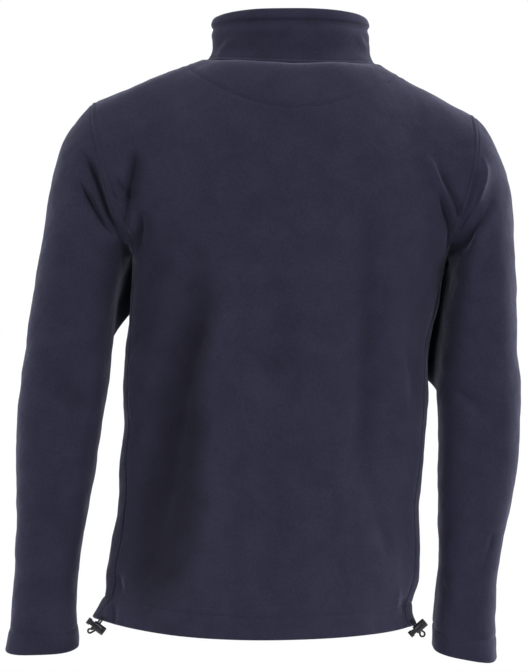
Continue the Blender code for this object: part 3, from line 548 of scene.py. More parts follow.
@dataclass(frozen=True)
class Form:
    """The jacket's form as worn: the body, the armholes and the sleeves."""

    neck: Neck = field(default_factory=Neck)
    hem_drop_back: float = 14.5
    hem_drop_front: float = 6.0
    hem_drop_right: float = 9.0
    front_edge: float = 4.5
    armhole_scoop: float = 12.0
    armhole_bow: tuple = (("left", 7.0), ("right", 10.0))
    scoop_behind: float = 0.25
    bow_rows: float = 5.0
    armhole_pull: float = 3.2
    shoulder_spread: float = 5.0
    shoulder_crown: tuple = (("left", 2.5), ("right", -0.5))
    waist_z: float = -382.0
    neck_share: float = 7 / 15
    corner_power: float = 2.7
    corner_rise: float = 200.0
    corner_reach: float = 75.0
    square_rows: float = 6.0
    square_power: float = 2.85
    settle_heights: tuple = (-323.7, -292.5, -261.2, -230.0)
    settle_shares: tuple = (0.0, 0.3, 0.7, 1.0)

    def body_rows(self, heights: Array, shares: Array, face: Face) -> Array:
        """Level rows of points from the right side seam to the left one.

        A row is an arc of an ellipse: x = m + h sin(a) / sin(t) and y goes with
        cos(a), where t is the turn at the seam. The front's arc is longer than
        a half turn, so that it rounds past the seam, and the back's arc leaves
        the seam in the same direction.

        Args:
            heights: the rows' heights.
            shares: columns, from the centre (0) to a seam (-1 or 1).
            face: back or front.

        Returns:
            Points as rows of one height.
        """
        t = TorsoRow(*smooth_through([row.z for row in TORSO], TORSO, heights).T)
        seam_left, seam_right = t.left - t.strip, t.right + t.strip
        middle, half = (seam_left + seam_right) / 2, (seam_left - seam_right) / 2
        sine = half / (half + t.strip)
        past = np.sqrt(1 - sine**2)
        deep_front, deep_back = t.seam_y - t.front_y, t.back_y - t.seam_y
        lean = half / deep_front * past / (1 - past) * deep_back / half
        front = face is Face.FRONT
        turn = np.pi - np.arcsin(sine) if front else np.arccos(lean / (1 - lean))
        end = t.front_y if front else t.back_y
        angle = shares[None, :] * turn[:, None]
        x = middle[:, None] + half[:, None] * np.sin(angle) / np.sin(turn)[:, None]
        rise = (np.cos(angle) - np.cos(turn)[:, None]) / (1 - np.cos(turn)[:, None])
        y = t.seam_y[:, None] + (end - t.seam_y)[:, None] * rise
        z = np.repeat(np.asarray(heights, float)[:, None], len(shares), axis=1)
        return np.stack([x, y, z], axis=-1)

    def ring(self, table: Array, turns: Array, places: Array = np.zeros(1)) -> Array:
        """Sleeve sections: turn 0 is outside, pi/2 behind and pi inside.

        A section is a superellipse: round at the armhole, squarer below.

        Args:
            table: one line of SleeveRow values for each section.
            turns: the turns of each section's points.
            places: each section's place in the table.

        Returns:
            Points as rows of one section.
        """
        row = SleeveRow(*table.T)
        outer, centre = row.outer, (row.outer + row.inner) / 2
        power = 2 / (2 + (self.square_power - 2) * ease(places / self.square_rows))[:, None]
        cosine, sine = np.cos(turns), np.sin(turns)
        cosine = np.sign(cosine) * np.abs(cosine)**power
        sine = np.sign(sine) * np.abs(sine)**power
        points = centre[:, None] + (outer - centre)[:, None] * cosine[..., None]
        points[..., 1] += np.where(sine > 0, row.back[:, None], row.front[:, None]) * sine
        points[..., 2] -= row.tilt[:, None] * sine
        return points

    def scoop(self, side: Side, turns: Array) -> Array:
        """How the armhole seam bows: out above its middle and in below it.

        Behind the arm it also bows out as a whole, with sin^2 of the turn.

        Args:
            side: which armhole.
            turns: turns round it.

        Returns:
            The shift of each point.
        """
        swing = np.sin(turns)**2
        behind = np.sin(turns) > 0
        bow = self.armhole_scoop * swing * np.cos(turns) * np.where(behind, self.scoop_behind, 1.0)
        bow = bow + dict(self.armhole_bow)[side.value] * swing * behind
        return bow[..., None] * np.array([side.sign, 0.0, 0.0])

    def armhole(self, side: Side, turns: Array) -> Array:
        """The armhole seam: the first sleeve section, scooped."""
        first = np.array([side.sleeve[0]], float)
        return self.ring(first, turns[None])[0] + self.scoop(side, turns)

    def armhole_frame(self, side: Side, points: Array) -> tuple[Array, Array]:
        """Unit vectors away from the armhole's axis at each point, and that axis.

        Args:
            side: which armhole.
            points: points on its seam.

        Returns:
            The vectors and the axis.
        """
        first = side.sleeve[0]
        chord = first.outer - first.inner
        axis = unit(np.array([chord[2], 0.0, -chord[0]])) * side.sign
        out = points - (first.outer + first.inner) / 2
        out = out - (out @ axis)[..., None] * axis
        return unit(out), axis

    def corner(self, shares: Array) -> tuple[Array, Array]:
        """Places along a rounded corner, as shares of its rise and its reach.

        The corner is a superellipse, walked by its length.

        Args:
            shares: shares of its length.

        Returns:
            How far up and how far over each is, 0 to 1.
        """
        fine = np.linspace(0, math.pi / 2, 2000)
        up = np.sin(fine)**(2 / self.corner_power)
        over = 1 - np.cos(fine)**(2 / self.corner_power)
        run = run_of(np.stack([up * self.corner_rise, over * self.corner_reach], axis=-1))
        at = np.asarray(shares) * run[-1]
        return np.interp(at, run, up), np.interp(at, run, over)

    @property
    def corner_length(self) -> float:
        """Length of the corner that the upper body follows."""
        up, over = self.corner(np.linspace(0, 1, 200))
        return float(run_of(np.stack([up * self.corner_rise, over * self.corner_reach], axis=-1))[-1])

    @staticmethod
    def turns_at(up: Array) -> Array:
        """Turns round the armhole from underarm to shoulder, for shares of the rise."""
        return np.arccos(np.clip(2 * up - 1, -1, 1))

    def shoulder_line(self, shares: Array, face: Face) -> Array:
        """A panel's top edge: the neck seam, then the shoulder seam.

        The shoulder seam is straight with a sine crown.

        Args:
            shares: the panel's columns.
            face: back or front.

        Returns:
            A point for each column.
        """
        part = shares / self.neck_share
        turn = part * self.neck.point_turn
        if face is Face.FRONT:
            turn = np.where(shares < 0, -math.pi, math.pi) - part * (math.pi - self.neck.point_turn)
        tops = self.neck.seam(turn)
        beyond = np.abs(shares) > self.neck_share + 1e-6
        for side in Side:
            start, end = self.neck.seam(np.array(side.sign * self.neck.point_turn)), side.sleeve[0].outer
            mine = beyond & (shares * side.sign > 0)
            along = (np.abs(shares[mine]) - self.neck_share) / (1 - self.neck_share)
            line = start + (end - start) * along[:, None]
            line[:, 2] += dict(self.shoulder_crown)[side.value] * np.sin(math.pi * along)
            tops[mine] = line
        return tops

    def panel(self, shares: Array, heights: Array, climbs: Array, face: Face) -> Array:
        """A body panel's outer points, from hem to shoulder.

        Below the underarm its rows are those of the body. Above it each column
        runs up and rounds over to the shoulder line, and the outer columns are
        drawn onto the armhole seam.

        Args:
            shares: columns, from the centre (0) to a side seam (-1 or 1).
            heights: levels of the lower rows.
            climbs: places of the upper rows along the corner, above 0 and up to 1.
            face: back or front.

        Returns:
            Points as rows from the hem up.
        """
        lower = self.body_rows(heights, shares, face)
        drop = self.hem_drop_front if face is Face.FRONT else self.hem_drop_back
        sink = ease((self.waist_z - lower[..., 2]) / (self.waist_z - TORSO[0].z))
        level = np.cos(shares * math.pi / 2)
        hang = drop * (level + level**2) / 2 + self.hem_drop_right * ease(-shares)
        lower[..., 2] -= sink * hang
        to_left = ease((shares + 1) / 2)
        underarm = SLEEVE_RIGHT[0].inner_z * (1 - to_left) + SLEEVE_LEFT[0].inner_z * to_left
        settle = np.interp(heights, self.settle_heights, self.settle_shares)
        lower[..., 2] += (underarm - lower[-1, :, 2])[None] * settle[:, None]
        base, top = lower[-1], self.shoulder_line(shares, face)
        up, over = self.corner(climbs)
        upper = base + (top - base) * np.stack([up, over, up], axis=-1)[:, None, :]
        beside = np.clip(1 - self.shoulder_spread * (np.abs(shares) - self.neck_share), 0, 1)
        beside = beside * np.abs(unit(top[:, :2] - [0.0, self.neck.middle_y])[:, 0])
        upper[..., 0] += (top - base)[None, :, 0] * beside[None] * (over - up)[:, None]
        turns = self.turns_at(up) * face.value
        for side in Side:
            edge = int(np.argmax(shares * side.sign))
            if abs(shares[edge]) < 0.999:
                continue
            pull = self.armhole(side, turns) - upper[:, edge]
            weight = np.where(shares * side.sign > 0, np.abs(shares), 0)**self.armhole_pull
            upper += pull[:, None] * weight[None, :, None]
        return np.concatenate([lower, upper])

    def front_shift(self, part: Array) -> Array:
        """How far the cloth beside the zip is moved off the centre line."""
        return self.front_edge * np.clip(1 - part, 0, 1)**2


# ------------ the cloth


@dataclass(frozen=True)
class Cloth:
    """The fleece's plies, turned edges and grid spacing, in millimetres."""

    ply: float = 2.5
    collar: float = 4.5
    hem_ply: float = 2.2
    hem_width: float = 26.0
    cuff_width: float = 24.0
    turn_over: float = 4.0
    turn_ease: float = 5.0
    puff: float = 0.5
    nip: float = 0.4
    gap: float = 0.1
    seam_depth: float = 1.1
    seam_width: float = 1.5
    seam_puff: float = 0.35
    seam_stiffness: float = 0.7
    stiff_width: float = 4.0
    stitch_depth: float = 0.7
    stitch_width: float = 1.2
    allowance: float = 6.0
    spacing: float = 2.9

    def thickness(self, distance: Array, width: float) -> Array:
        """Thickness by the distance above a turned hem's edge."""
        return self.ply + self.hem_ply * ease((width + self.turn_over - distance) / self.turn_ease)

    def swell(self, distance: Array, width: float) -> Array:
        """Outward swell of a turned hem, nipped in at its line of stitches.

        Args:
            distance: heights above the hem's edge.
            width: the hem's width.

        Returns:
            The swell at each.
        """
        below = width - distance
        nip = self.nip * bump(below, self.turn_ease) + self.stitch_depth * bump(below, self.stitch_width)
        return self.puff * ease(below / self.turn_ease) - nip

    @staticmethod
    def rounding(distance: Array, thick: Array) -> Array:
        """How far both faces close in on each other at a rounded edge.

        The edge is a half circle across the cloth: r - sqrt(r^2 - (r - d)^2).

        Args:
            distance: distances from the edge.
            thick: the thickness at each.

        Returns:
            The closing in at each.
        """
        radius = thick / 2
        short = np.clip(radius - distance, 0, None)
        return EDGE_ROUND * (radius - np.sqrt(radius**2 - short**2))

    def give(self, distance: Array) -> Array:
        """How much of a fold is left beside an armhole seam, which is stiff."""
        return 1 - self.seam_stiffness * bump(distance, self.stiff_width)

    def seam(self, distance: Array, strength: float | Array = 1.0) -> Array:
        """The valley beside a seam, and the groove and puff of its topstitching.

        Args:
            distance: distances from the seam.
            strength: how much of the topstitching shows.

        Returns:
            The relief at each.
        """
        valley = -self.seam_depth * bump(distance, self.seam_width)
        groove = -self.stitch_depth * bump(distance - self.allowance, self.stitch_width)
        puff = self.seam_puff * bump(distance - self.allowance / 2, self.allowance / 3)
        return valley + strength * (groove + puff)


class Dense(NamedTuple):
    """A place where grid lines draw together, how wide and how much."""

    at: float
    width: float
    gain: float


def spaced(length: float, spacing: float, places: Sequence[Dense] = ()) -> Array:
    """Even steps along a length, closer together near some places.

    The density is 1/spacing times 1 plus a bell at each place; the steps are
    even ones of its integral, and their number is even.

    Args:
        length: the whole length, in millimetres.
        spacing: the step away from the places.
        places: where the steps are shorter.

    Returns:
        Rising distances from 0 to the length.
    """
    fine = np.linspace(0, length, 6000)
    density = np.ones_like(fine)
    for place in places:
        density += place.gain * bump(fine - place.at, place.width)
    run = np.concatenate([[0], np.cumsum((density[1:] + density[:-1]) / 2 * np.diff(fine))])
    count = 2 * int(math.ceil(run[-1] / spacing / 2))
    return np.interp(np.linspace(0, run[-1], count + 1), run, fine)


def grid_normals(points: Array, outward: Array, wraps: bool = False) -> Array:
    """Unit normals of a grid of points; 'outward' is a rough outward direction.

    Args:
        points: the grid.
        outward: its rough outward direction.
        wraps: whether its columns close on themselves.

    Returns:
        A normal for each point.
    """
    along = np.gradient(points, axis=0)
    if wraps:
        across = np.roll(points, -1, axis=1) - np.roll(points, 1, axis=1)
    else:
        across = np.gradient(points, axis=1)
    normals = unit(np.cross(along, across))
    return normals if np.sum(normals * outward) > 0 else -normals


def path_distance(flat: Array, path: Sequence, samples: int = 60) -> tuple[Array, Array]:
    """Distance of points from a smooth path, and how far along it they lie (0 to 1).

    Args:
        flat: points as seen from behind.
        path: the path's points.
        samples: how finely the path is walked.

    Returns:
        The distances and the places.
    """
    line = smooth_path(path, samples)
    start, step = line[:-1], np.diff(line, axis=0)
    best = np.full(len(flat), np.inf)
    where = np.zeros(len(flat))
    for index, (origin, leg) in enumerate(zip(start, step)):
        share = np.clip((flat - origin) @ leg / (leg @ leg), 0, 1)
        away = np.linalg.norm(flat - origin - share[:, None] * leg, axis=1)
        closer = away < best
        best = np.where(closer, away, best)
        where = np.where(closer, (index + share) / (samples - 1), where)
    return best, where


@dataclass(frozen=True)
class Relief:
    """Folds, creases and soft unevenness of the cloth, as heights along its normal, and the shade painted
    into its folds.
    """

    waves: tuple = ((103.0, 0.6, 0.35, 0.4), (67.0, 0.4, 1.95, 1.3),
                    (41.0, 0.25, 0.9, 2.1), (24.0, 0.12, 2.5, 0.7), (15.0, 0.06, 0.2, 1.9))
    crease_limit: float = 15.0
    full_shade_depth: float = 15.0
    calm_reach: float = 17.0
    calm: float = 0.85
    reach: float = 5.0
    facing_start: float = -0.05
    facing_rise: float = 0.45
    eye: Triple = (31.2, 3000.0, -328.8)

    def height(self, points: Array, normals: Array) -> Array:
        """Height of all the relief at each point of a grid, in millimetres.

        The creases are held below a limit by tanh, and fade at the underarms.

        Args:
            points: the grid's points.
            normals: their normals.

        Returns:
            The height at each.
        """
        plain, seen = points.reshape(-1, 3)[:, [0, 2]], self.seen(points.reshape(-1, 3))
        facing = normals.reshape(-1, 3)[:, 1]
        total = ripple(points, self.waves).reshape(-1)
        sharp = np.zeros_like(total)
        groups = ((BACK_FOLDS, 1.0, seen), (FRONT_FOLDS, -1.0, plain), (BACK_CREASES, 1.0, seen))
        for folds, sign, flat in groups:
            shown = ease((facing * sign - self.facing_start) / self.facing_rise)
            for fold in folds:
                near = self.near(flat, fold)
                if near.any():
                    kind = sharp if isinstance(fold, Crease) else total
                    kind[near] += fold.relief(flat[near]) * shown[near]
        for side in Side:
            underarm = np.linalg.norm(seen - side.sleeve[0].inner[[0, 2]], axis=1)
            sharp *= 1 - self.calm * bump(underarm, self.calm_reach)
        total += self.crease_limit * np.tanh(sharp / self.crease_limit)
        return total.reshape(points.shape[:-1])

    def painted_shade(self, height: Array) -> Array:
        """Painted shade for the colour, 0 to 1, by how deep the cloth lies in a fold."""
        return ease(-height / self.full_shade_depth)

    def seen(self, points: Array) -> Array:
        """Where points are seen in the middle plane by an eye behind the jacket.

        Args:
            points: a list of points.

        Returns:
            Their x and z there.
        """
        eye = np.array(self.eye)
        share = eye[1] / (eye[1] - points[:, 1:2])
        return (eye + (points - eye) * share)[:, [0, 2]]

    def near(self, flat: Array, fold: Fold) -> Array:
        """Which points are near enough to a fold to be moved by it.

        Args:
            flat: points as seen from behind.
            fold: the fold.

        Returns:
            Whether each is near.
        """
        path = np.asarray(fold.path, float)
        margin = self.reach * fold.width
        low, high = path.min(axis=0) - margin, path.max(axis=0) + margin
        return np.all((flat > low) & (flat < high), axis=1)


def arc_from(points: Array, axis: int, from_end: bool = False) -> Array:
    """Length along a grid's rows or columns, from their first or last point.

    Args:
        points: the grid.
        axis: 0 for columns, 1 for rows.
        from_end: whether to start at the end.

    Returns:
        The length at each point.
    """
    steps = np.linalg.norm(np.diff(points, axis=axis), axis=-1)
    zero = np.zeros_like(np.take(steps, [0], axis=axis))
    run = np.concatenate([zero, np.cumsum(steps, axis=axis)], axis=axis)
    return np.take(run, [-1], axis=axis) - run if from_end else run


def linked(name: str, data: bpy.types.ID) -> Object:
    """Link new data to the scene, as an object at the origin.

    Args:
        name: the object's name.
        data: its mesh, curve, light or camera.

    Returns:
        The object.
    """
    piece = bpy.data.objects.new(name, data)
    bpy.context.scene.collection.objects.link(piece)
    return piece


def mesh_object(name: str, points: Array, faces: Sequence) -> Object:
    """Link a smooth mesh, its points in millimetres.

    Args:
        name: the object's name.
        points: the points.
        faces: the point numbers of each face.

    Returns:
        The linked object.
    """
    mesh = bpy.data.meshes.new(name)
    mesh.from_pydata(points * MM, [], faces)
    mesh.shade_smooth()
    return linked(name, mesh)


def quads(grid: Array) -> Array:
    """The quads of a grid of point numbers, one on each line."""
    return np.stack([grid[:-1, :-1], grid[:-1, 1:], grid[1:, 1:], grid[1:, :-1]], axis=-1).reshape(-1, 4)


def ringed(grid: Array) -> Array:
    """A grid of point numbers with its first column again at the end."""
    return np.concatenate([grid, grid[:, :1]], axis=1)


def repeated_object(name: str, copies: Array, faces: Array) -> Object:
    """One small mesh, repeated.

    Args:
        name: the object's name.
        copies: the points of each copy, in millimetres.
        faces: the quads of one copy.

    Returns:
        The linked object, smooth shaded.
    """
    starts = np.arange(len(copies)) * copies.shape[1]
    return mesh_object(name, copies.reshape(-1, 3), (faces[None] + starts[:, None, None]).reshape(-1, 4))


def wall_object(name: str, grid: ClothGrid, wraps: bool = False,
                painted_shade: Array | None = None) -> Object:
    """A closed wall between the outer and the inner points of a grid.

    The inner face keeps every second row and column, and the rims join two
    outer edges to one inner edge.

    Args:
        name: the object's name.
        grid: the wall's points, in millimetres, with an even number of steps
            both ways.
        wraps: whether the columns close on themselves.
        painted_shade: for each outer point, the shade painted into its colour where it lies deep in a fold, 0
            to 1; it is kept as the point attribute "painted_shade".

    Returns:
        The linked object, smooth shaded.
    """
    outer, normals = grid.outer, grid.normals
    rows, columns = outer.shape[:2]
    thin = grid.inner[::2, ::2]
    face = np.arange(rows * columns).reshape(rows, columns)
    back = np.arange(thin.shape[0] * thin.shape[1]).reshape(thin.shape[:2]) + rows * columns
    if wraps:
        face, back = ringed(face), ringed(back)
    rims = [(face[0, ::-1], back[0, ::-1]), (face[-1], back[-1])]
    if not wraps:
        rims += [(face[:, 0], back[:, 0]), (face[::-1, -1], back[::-1, -1])]
    faces = quads(face).tolist() + quads(back)[:, ::-1].tolist()
    for rim, under in rims:
        faces += np.stack([rim[:-2:2], rim[1:-1:2], rim[2::2], under[1:], under[:-1]], axis=-1).tolist()
    row, column = rows // 2, columns // 2
    middle = outer[row, column]
    turned = np.cross(outer[row, column + 1] - middle, outer[row + 1, column] - middle)
    piece = mesh_object(name, np.concatenate([outer.reshape(-1, 3), thin.reshape(-1, 3)]), faces)
    if np.dot(turned, normals[row, column]) < 0:
        piece.data.flip_normals()
    # Painted shade: each outer point's darkening in folds and crevices is kept for the fleece's colour.
    if painted_shade is not None:
        depth = np.zeros(len(piece.data.vertices), np.float32)
        depth[:rows * columns] = painted_shade.ravel()
        piece.data.attributes.new("painted_shade", "FLOAT", "POINT").data.foreach_set("value", depth)
    return piece


@dataclass
class Line:
    """A line on the cloth with its outward normals, in millimetres."""

    points: Array
    normals: Array

    def at(self, pitch: float, start: float = 0.0, end: float = 0.0) -> tuple[Array, Array, Array]:
        """Even places along the line.

        Args:
            pitch: the distance from place to place.
            start: length left free at the line's start.
            end: length left free at its end.

        Returns:
            Points, unit tangents and unit normals.
        """
        run = run_of(self.points)
        places = np.arange(start + pitch / 2, run[-1] - end, pitch)
        points = read_at(places, run, self.points)
        normals = unit(read_at(places, run, self.normals))
        tangents = unit(np.gradient(points, axis=0))
        normals = unit(normals - np.sum(normals * tangents, axis=1, keepdims=True) * tangents)
        return points, tangents, normals


@dataclass
class ClothGrid:
    """A piece's finished outer and inner points and its normals."""

    outer: Array
    inner: Array
    normals: Array

    @classmethod
    def raised(cls, outer: Array, normals: Array, height: Array, thick: Array, ends: Array) -> ClothGrid:
        """A wall of cloth: raised along its normals, then drawn in at its edges.

        Args:
            outer: the outer points before they are raised.
            normals: their normals.
            height: how far each is raised.
            thick: the cloth's thickness at each.
            ends: how far both faces are drawn in at each.

        Returns:
            The wall's grid.
        """
        outer = outer + normals * height[..., None]
        inner = outer - normals * (thick - ends)[..., None]
        return cls(outer - normals * ends[..., None], inner, normals)

    def picked(self, pick: Callable[[Array], Array]) -> ClothGrid:
        """The same part of the outer points, the inner points and the normals."""
        return ClothGrid(*(pick(part) for part in (self.outer, self.inner, self.normals)))

    def level(self, distances: Array, at: float, closed: bool = False) -> Line:
        """The line where a distance that grows along each column has a value.

        Args:
            distances: the distance at each point.
            at: the value.
            closed: whether the line closes on itself.

        Returns:
            The line.
        """
        if distances[-1].mean() < distances[0].mean():
            return self.picked(lambda part: part[::-1]).level(distances[::-1], at, closed)
        low = np.clip(np.sum(distances < at, axis=0) - 1, 0, len(distances) - 2)
        columns = np.arange(distances.shape[1])
        first, second = distances[low, columns], distances[low + 1, columns]
        share = np.clip((at - first) / np.maximum(second - first, 1e-6), 0, 1)[:, None]
        points, lines = (part[low, columns] * (1 - share) + part[low + 1, columns] * share
                         for part in (self.outer, self.normals))
        if closed:
            points, lines = (np.concatenate([a, a[:1]]) for a in (points, lines))
        return Line(points, unit(lines))

    def along(self, path: Array, relief: Relief) -> Line:
        """A line laid on the outer face along a path seen from behind.

        Each place is the mean of the nearest points, weighted by how near
        they are seen.

        Args:
            path: the path's points.
            relief: knows where points are seen.

        Returns:
            The line.
        """
        flat = self.outer.reshape(-1, 3)
        away = np.linalg.norm(path[:, None] - relief.seen(flat)[None], axis=-1)
        nearest = np.argsort(away, axis=1)[:, :6]
        weight = 1 / (np.take_along_axis(away, nearest, axis=1) + 0.3)**2
        weight = (weight / weight.sum(axis=1, keepdims=True))[..., None]
        points = np.sum(flat[nearest] * weight, axis=1)
        normals = np.sum(self.normals.reshape(-1, 3)[nearest] * weight, axis=1)
        smooth = np.array([1.0, 2.0, 3.0, 2.0, 1.0]) / 9
        for axis in range(3):
            points[2:-2, axis] = np.convolve(points[:, axis], smooth, "valid")
        return Line(points, unit(normals))


@dataclass
class Stitching:
    """Rows of lockstitch, each stitch a small domed bead of thread."""

    name: str
    pitch: float = 3.1
    length: float = 2.5
    radius: float = 0.3
    breadth: float = 1.25
    sunk: float = 0.12
    beads: list = field(default_factory=list)

    STATIONS = np.array([-0.5, -0.3, 0.3, 0.5])
    FULLNESS = np.array([0.35, 1.0, 1.0, 0.35])
    ARC = np.linspace(0, math.pi, 5)

    def add(self, line: Line, start: float = 0.0, end: float = 0.0) -> None:
        """Sew along a line, leaving some length free at its ends.

        Args:
            line: the line.
            start: length left free at its start.
            end: length left free at its end.
        """
        points, tangents, normals = line.at(self.pitch, start, end)
        if len(points) < 2:
            return
        sides = np.cross(normals, tangents)
        x = (self.STATIONS * self.length)[:, None] * np.ones(len(self.ARC))
        y = self.FULLNESS[:, None] * np.cos(self.ARC) * self.radius * self.breadth
        z = self.FULLNESS[:, None] * np.sin(self.ARC) * self.radius - self.sunk
        template = np.stack([x, y, z], axis=-1).reshape(-1, 3)
        axes = np.stack([tangents, sides, normals], axis=1)
        self.beads.append(points[:, None] + np.einsum("vk,nkc->nvc", template, axes))

    def build(self) -> Object:
        """The mesh of every stitch in the group."""
        index = np.arange(len(self.STATIONS) * len(self.ARC)).reshape(-1, len(self.ARC))
        return repeated_object(self.name, np.concatenate(self.beads), quads(index))


@dataclass
class Sewing:
    """The jacket's visible topstitching, by group."""

    body: Stitching = field(default_factory=lambda: Stitching("stitching_body"))
    hems: Stitching = field(default_factory=lambda: Stitching("stitching_hems"))
    collar: Stitching = field(default_factory=lambda: Stitching("stitching_collar"))
    moon: Stitching = field(default_factory=lambda: Stitching("stitching_half_moon"))

    def build(self) -> list[Object]:
        """Every group's mesh."""
        return [group.build() for group in (self.body, self.hems, self.collar, self.moon)]


@dataclass
class Panel:
    """The back or one front: from hem to shoulder, between its seams."""

    name: str
    face: Face
    sides: tuple[Side, ...]
    form: Form
    cloth: Cloth
    relief: Relief
    half_width: float = 215.0
    bend_passes: int = 60
    bend_rows: float = 14.0
    bend_edge: float = 40.0
    bare_seam: float = 24.0
    stitch_margin: float = 3.0
    moon_margin: float = 20.0
    moon_groove: float = 1.5
    moon_width: float = 2.0
    moon_ridge: float = 0.5
    moon_ridge_at: float = 3.4
    moon_ridge_width: float = 3.0
    moon_samples: int = 260

    @cached_property
    def shares(self) -> Array:
        """The panel's columns, closer together at the seams and at the zip.

        Returns:
            Shares of the half width, -1 at the right seam and 1 at the left.
        """
        neck = self.form.neck_share
        spacing = self.cloth.spacing
        rest = self.half_width * (1 - neck)
        zip_edge = (Dense(0.0, 3.0, 6.0),) if self.face is Face.FRONT else ()
        seam = (Dense(rest - self.cloth.allowance, 2.5, 1.5), Dense(rest, 2.0, 3.0),
                Dense(rest - 22.0, 28.0, 0.8))
        first = spaced(self.half_width * neck, spacing, zip_edge)
        second = spaced(rest, spacing, seam)
        half = np.concatenate([first / self.half_width, neck + second[1:] / self.half_width])
        half[len(first) - 1], half[-1] = neck, 1.0
        if len(self.sides) == 2:
            return np.concatenate([-half[::-1][:-1], half])
        return half if self.sides[0] is Side.LEFT else -half[::-1]

    @cached_property
    def heights(self) -> Array:
        """The rows below the armholes, closer together at the hem."""
        low, hem = TORSO[0].z, (Dense(0.0, 2.0, 7.0), Dense(self.cloth.hem_width, 2.5, 2.5))
        return low + spaced(TORSO[-1].z - low, self.cloth.spacing, hem)

    @property
    def rows(self) -> int:
        """How many rows are below the armholes."""
        return len(self.heights)

    @staticmethod
    def from_seam(outer: Array, side: Side) -> Array:
        """Each point's distance from a side's seam."""
        return arc_from(outer, 1, from_end=side is Side.LEFT)

    @property
    def top(self) -> Array:
        """Which columns end at the shoulder seam."""
        return np.abs(self.shares) > self.form.neck_share + 1e-6

    def build(self, sewing: Sewing) -> Object:
        """The panel's wall, with its stitches added to the sewing.

        Args:
            sewing: takes the panel's stitches.

        Returns:
            The panel.
        """
        form, cloth, rows = self.form, self.cloth, self.rows
        length = form.corner_length
        seam = (Dense(length - cloth.allowance, 2.5, 1.5), Dense(length, 2.5, 3.0), Dense(70.0, 60.0, 0.6))
        climbs = spaced(length, cloth.spacing, seam) / length
        outer = form.panel(self.shares, self.heights, climbs[1:], self.face)
        if self.face is Face.FRONT:
            outer[..., 0] += self.sides[0].sign * form.front_shift(np.abs(self.shares) / form.neck_share)
        outer = self.soften(outer)
        normals = grid_normals(outer, np.array([0.0, self.face.value, 0.0]))
        self.turn_normals(outer, normals)

        distance = outer[..., 2] - outer[:1, :, 2]
        thick = cloth.thickness(distance, cloth.hem_width)
        folds = self.relief.height(outer, normals)
        for side in self.sides:
            folds[rows - 1:] *= cloth.give(self.from_seam(outer[rows - 1:], side))
        height = folds + cloth.swell(distance, cloth.hem_width)
        height += self.seam_relief(outer)
        height += self.moon_relief(outer)
        ends = cloth.rounding(distance, thick)
        if self.face is Face.FRONT:
            from_zip = arc_from(outer, 1, from_end=self.sides[0] is Side.RIGHT)
            ends = np.maximum(ends, cloth.rounding(from_zip, thick))
        grid = ClothGrid.raised(outer, normals, height, thick, ends)
        self.sew(grid, sewing, distance)
        # The folds' painted shade goes with the wall, to darken the colour in deep folds.
        return wall_object(self.name, grid, painted_shade=self.relief.painted_shade(folds))

    def soften(self, outer: Array) -> Array:
        """Round the bend between the lower and the upper rows.

        The rows near it are averaged with their neighbours, over and over, by
        weights 1, 2, 1; the seams stay where they are.

        Args:
            outer: the panel's points.

        Returns:
            The softened points.
        """
        blurred = outer.copy()
        for _ in range(self.bend_passes):
            blurred[1:-1] = (blurred[:-2] + 2 * blurred[1:-1] + blurred[2:]) / 4
        near = bump(np.arange(len(outer)) - (self.rows - 1.0), self.bend_rows)
        inside = 1 - np.abs(self.shares)**self.bend_edge
        weight = near[:, None] * inside[None]
        weight[-1] = 0.0
        return outer + (blurred - outer) * weight[..., None]

    def turn_normals(self, outer: Array, normals: Array) -> None:
        """Point the normals at the seams along the seams' own planes.

        Args:
            outer: the panel's points.
            normals: their normals, which are changed.
        """
        form, below, top = self.form, self.rows - 1, self.top
        normals[-1, top] = np.array([0.0, 0.0, 1.0])
        normals[-1, ~top] = form.neck.outward(outer[-1, ~top])
        for side in self.sides:
            column = int(np.argmax(self.shares * side.sign))
            normals[:below, column] = unit(np.array([side.sign, 0.1, 0.0]))
            normals[below:, column] = form.armhole_frame(side, outer[below:, column])[0]

    def seam_relief(self, outer: Array) -> Array:
        """Valleys and topstitch grooves beside the side, armhole and top seams.

        Args:
            outer: the panel's points.

        Returns:
            The relief at each.
        """
        total = np.zeros(outer.shape[:2])
        sewn = np.where(np.arange(len(outer)) >= self.rows - 1, 1.0, 0.0)[:, None]
        for side in self.sides:
            total += self.cloth.seam(self.from_seam(outer, side), sewn)
        stitched = np.where(self.top, 1.0, 0.0)[None]
        return total + self.cloth.seam(arc_from(outer, 0, from_end=True), stitched)

    def moon_relief(self, outer: Array) -> Array:
        """The groove of the half-moon stitching on the back.

        Args:
            outer: the panel's points.

        Returns:
            The relief at each.
        """
        if self.face is Face.FRONT:
            return np.zeros(outer.shape[:2])
        flat = self.relief.seen(outer.reshape(-1, 3))
        near = flat[:, 1] > min(z for _, z in HALF_MOON) - self.moon_margin
        height = np.zeros(len(flat))
        away, _ = path_distance(flat[near], HALF_MOON)
        ridge = self.moon_ridge * bump(away - self.moon_ridge_at, self.moon_ridge_width)
        height[near] = ridge - self.moon_groove * bump(away, self.moon_width)
        return height.reshape(outer.shape[:2])

    def sew(self, grid: ClothGrid, sewing: Sewing, distance: Array) -> None:
        """Add the panel's rows of stitches.

        Args:
            grid: the panel's wall.
            sewing: takes the stitches.
            distance: each point's height above the hem.
        """
        cloth, margin, rows = self.cloth, self.stitch_margin, self.rows
        sewing.hems.add(grid.level(distance, cloth.hem_width), margin + 1, margin + 1)
        from_top = arc_from(grid.outer, 0, from_end=True)
        for side in self.sides:
            step = -1 if side is Side.LEFT else 1
            from_seam = self.from_seam(grid.outer, side)
            turned = grid.picked(lambda part: part[rows:, ::step].swapaxes(0, 1))
            sewing.body.add(turned.level(from_seam[rows:, ::step].T, cloth.allowance), self.bare_seam, margin)
            top = self.top & (self.shares * side.sign > 0)
            shoulder = grid.picked(lambda part: part[:, top])
            sewing.body.add(shoulder.level(from_top[:, top], cloth.allowance), margin, margin)
        if self.face is Face.BACK:
            sewing.moon.add(grid.along(smooth_path(HALF_MOON, self.moon_samples), self.relief))


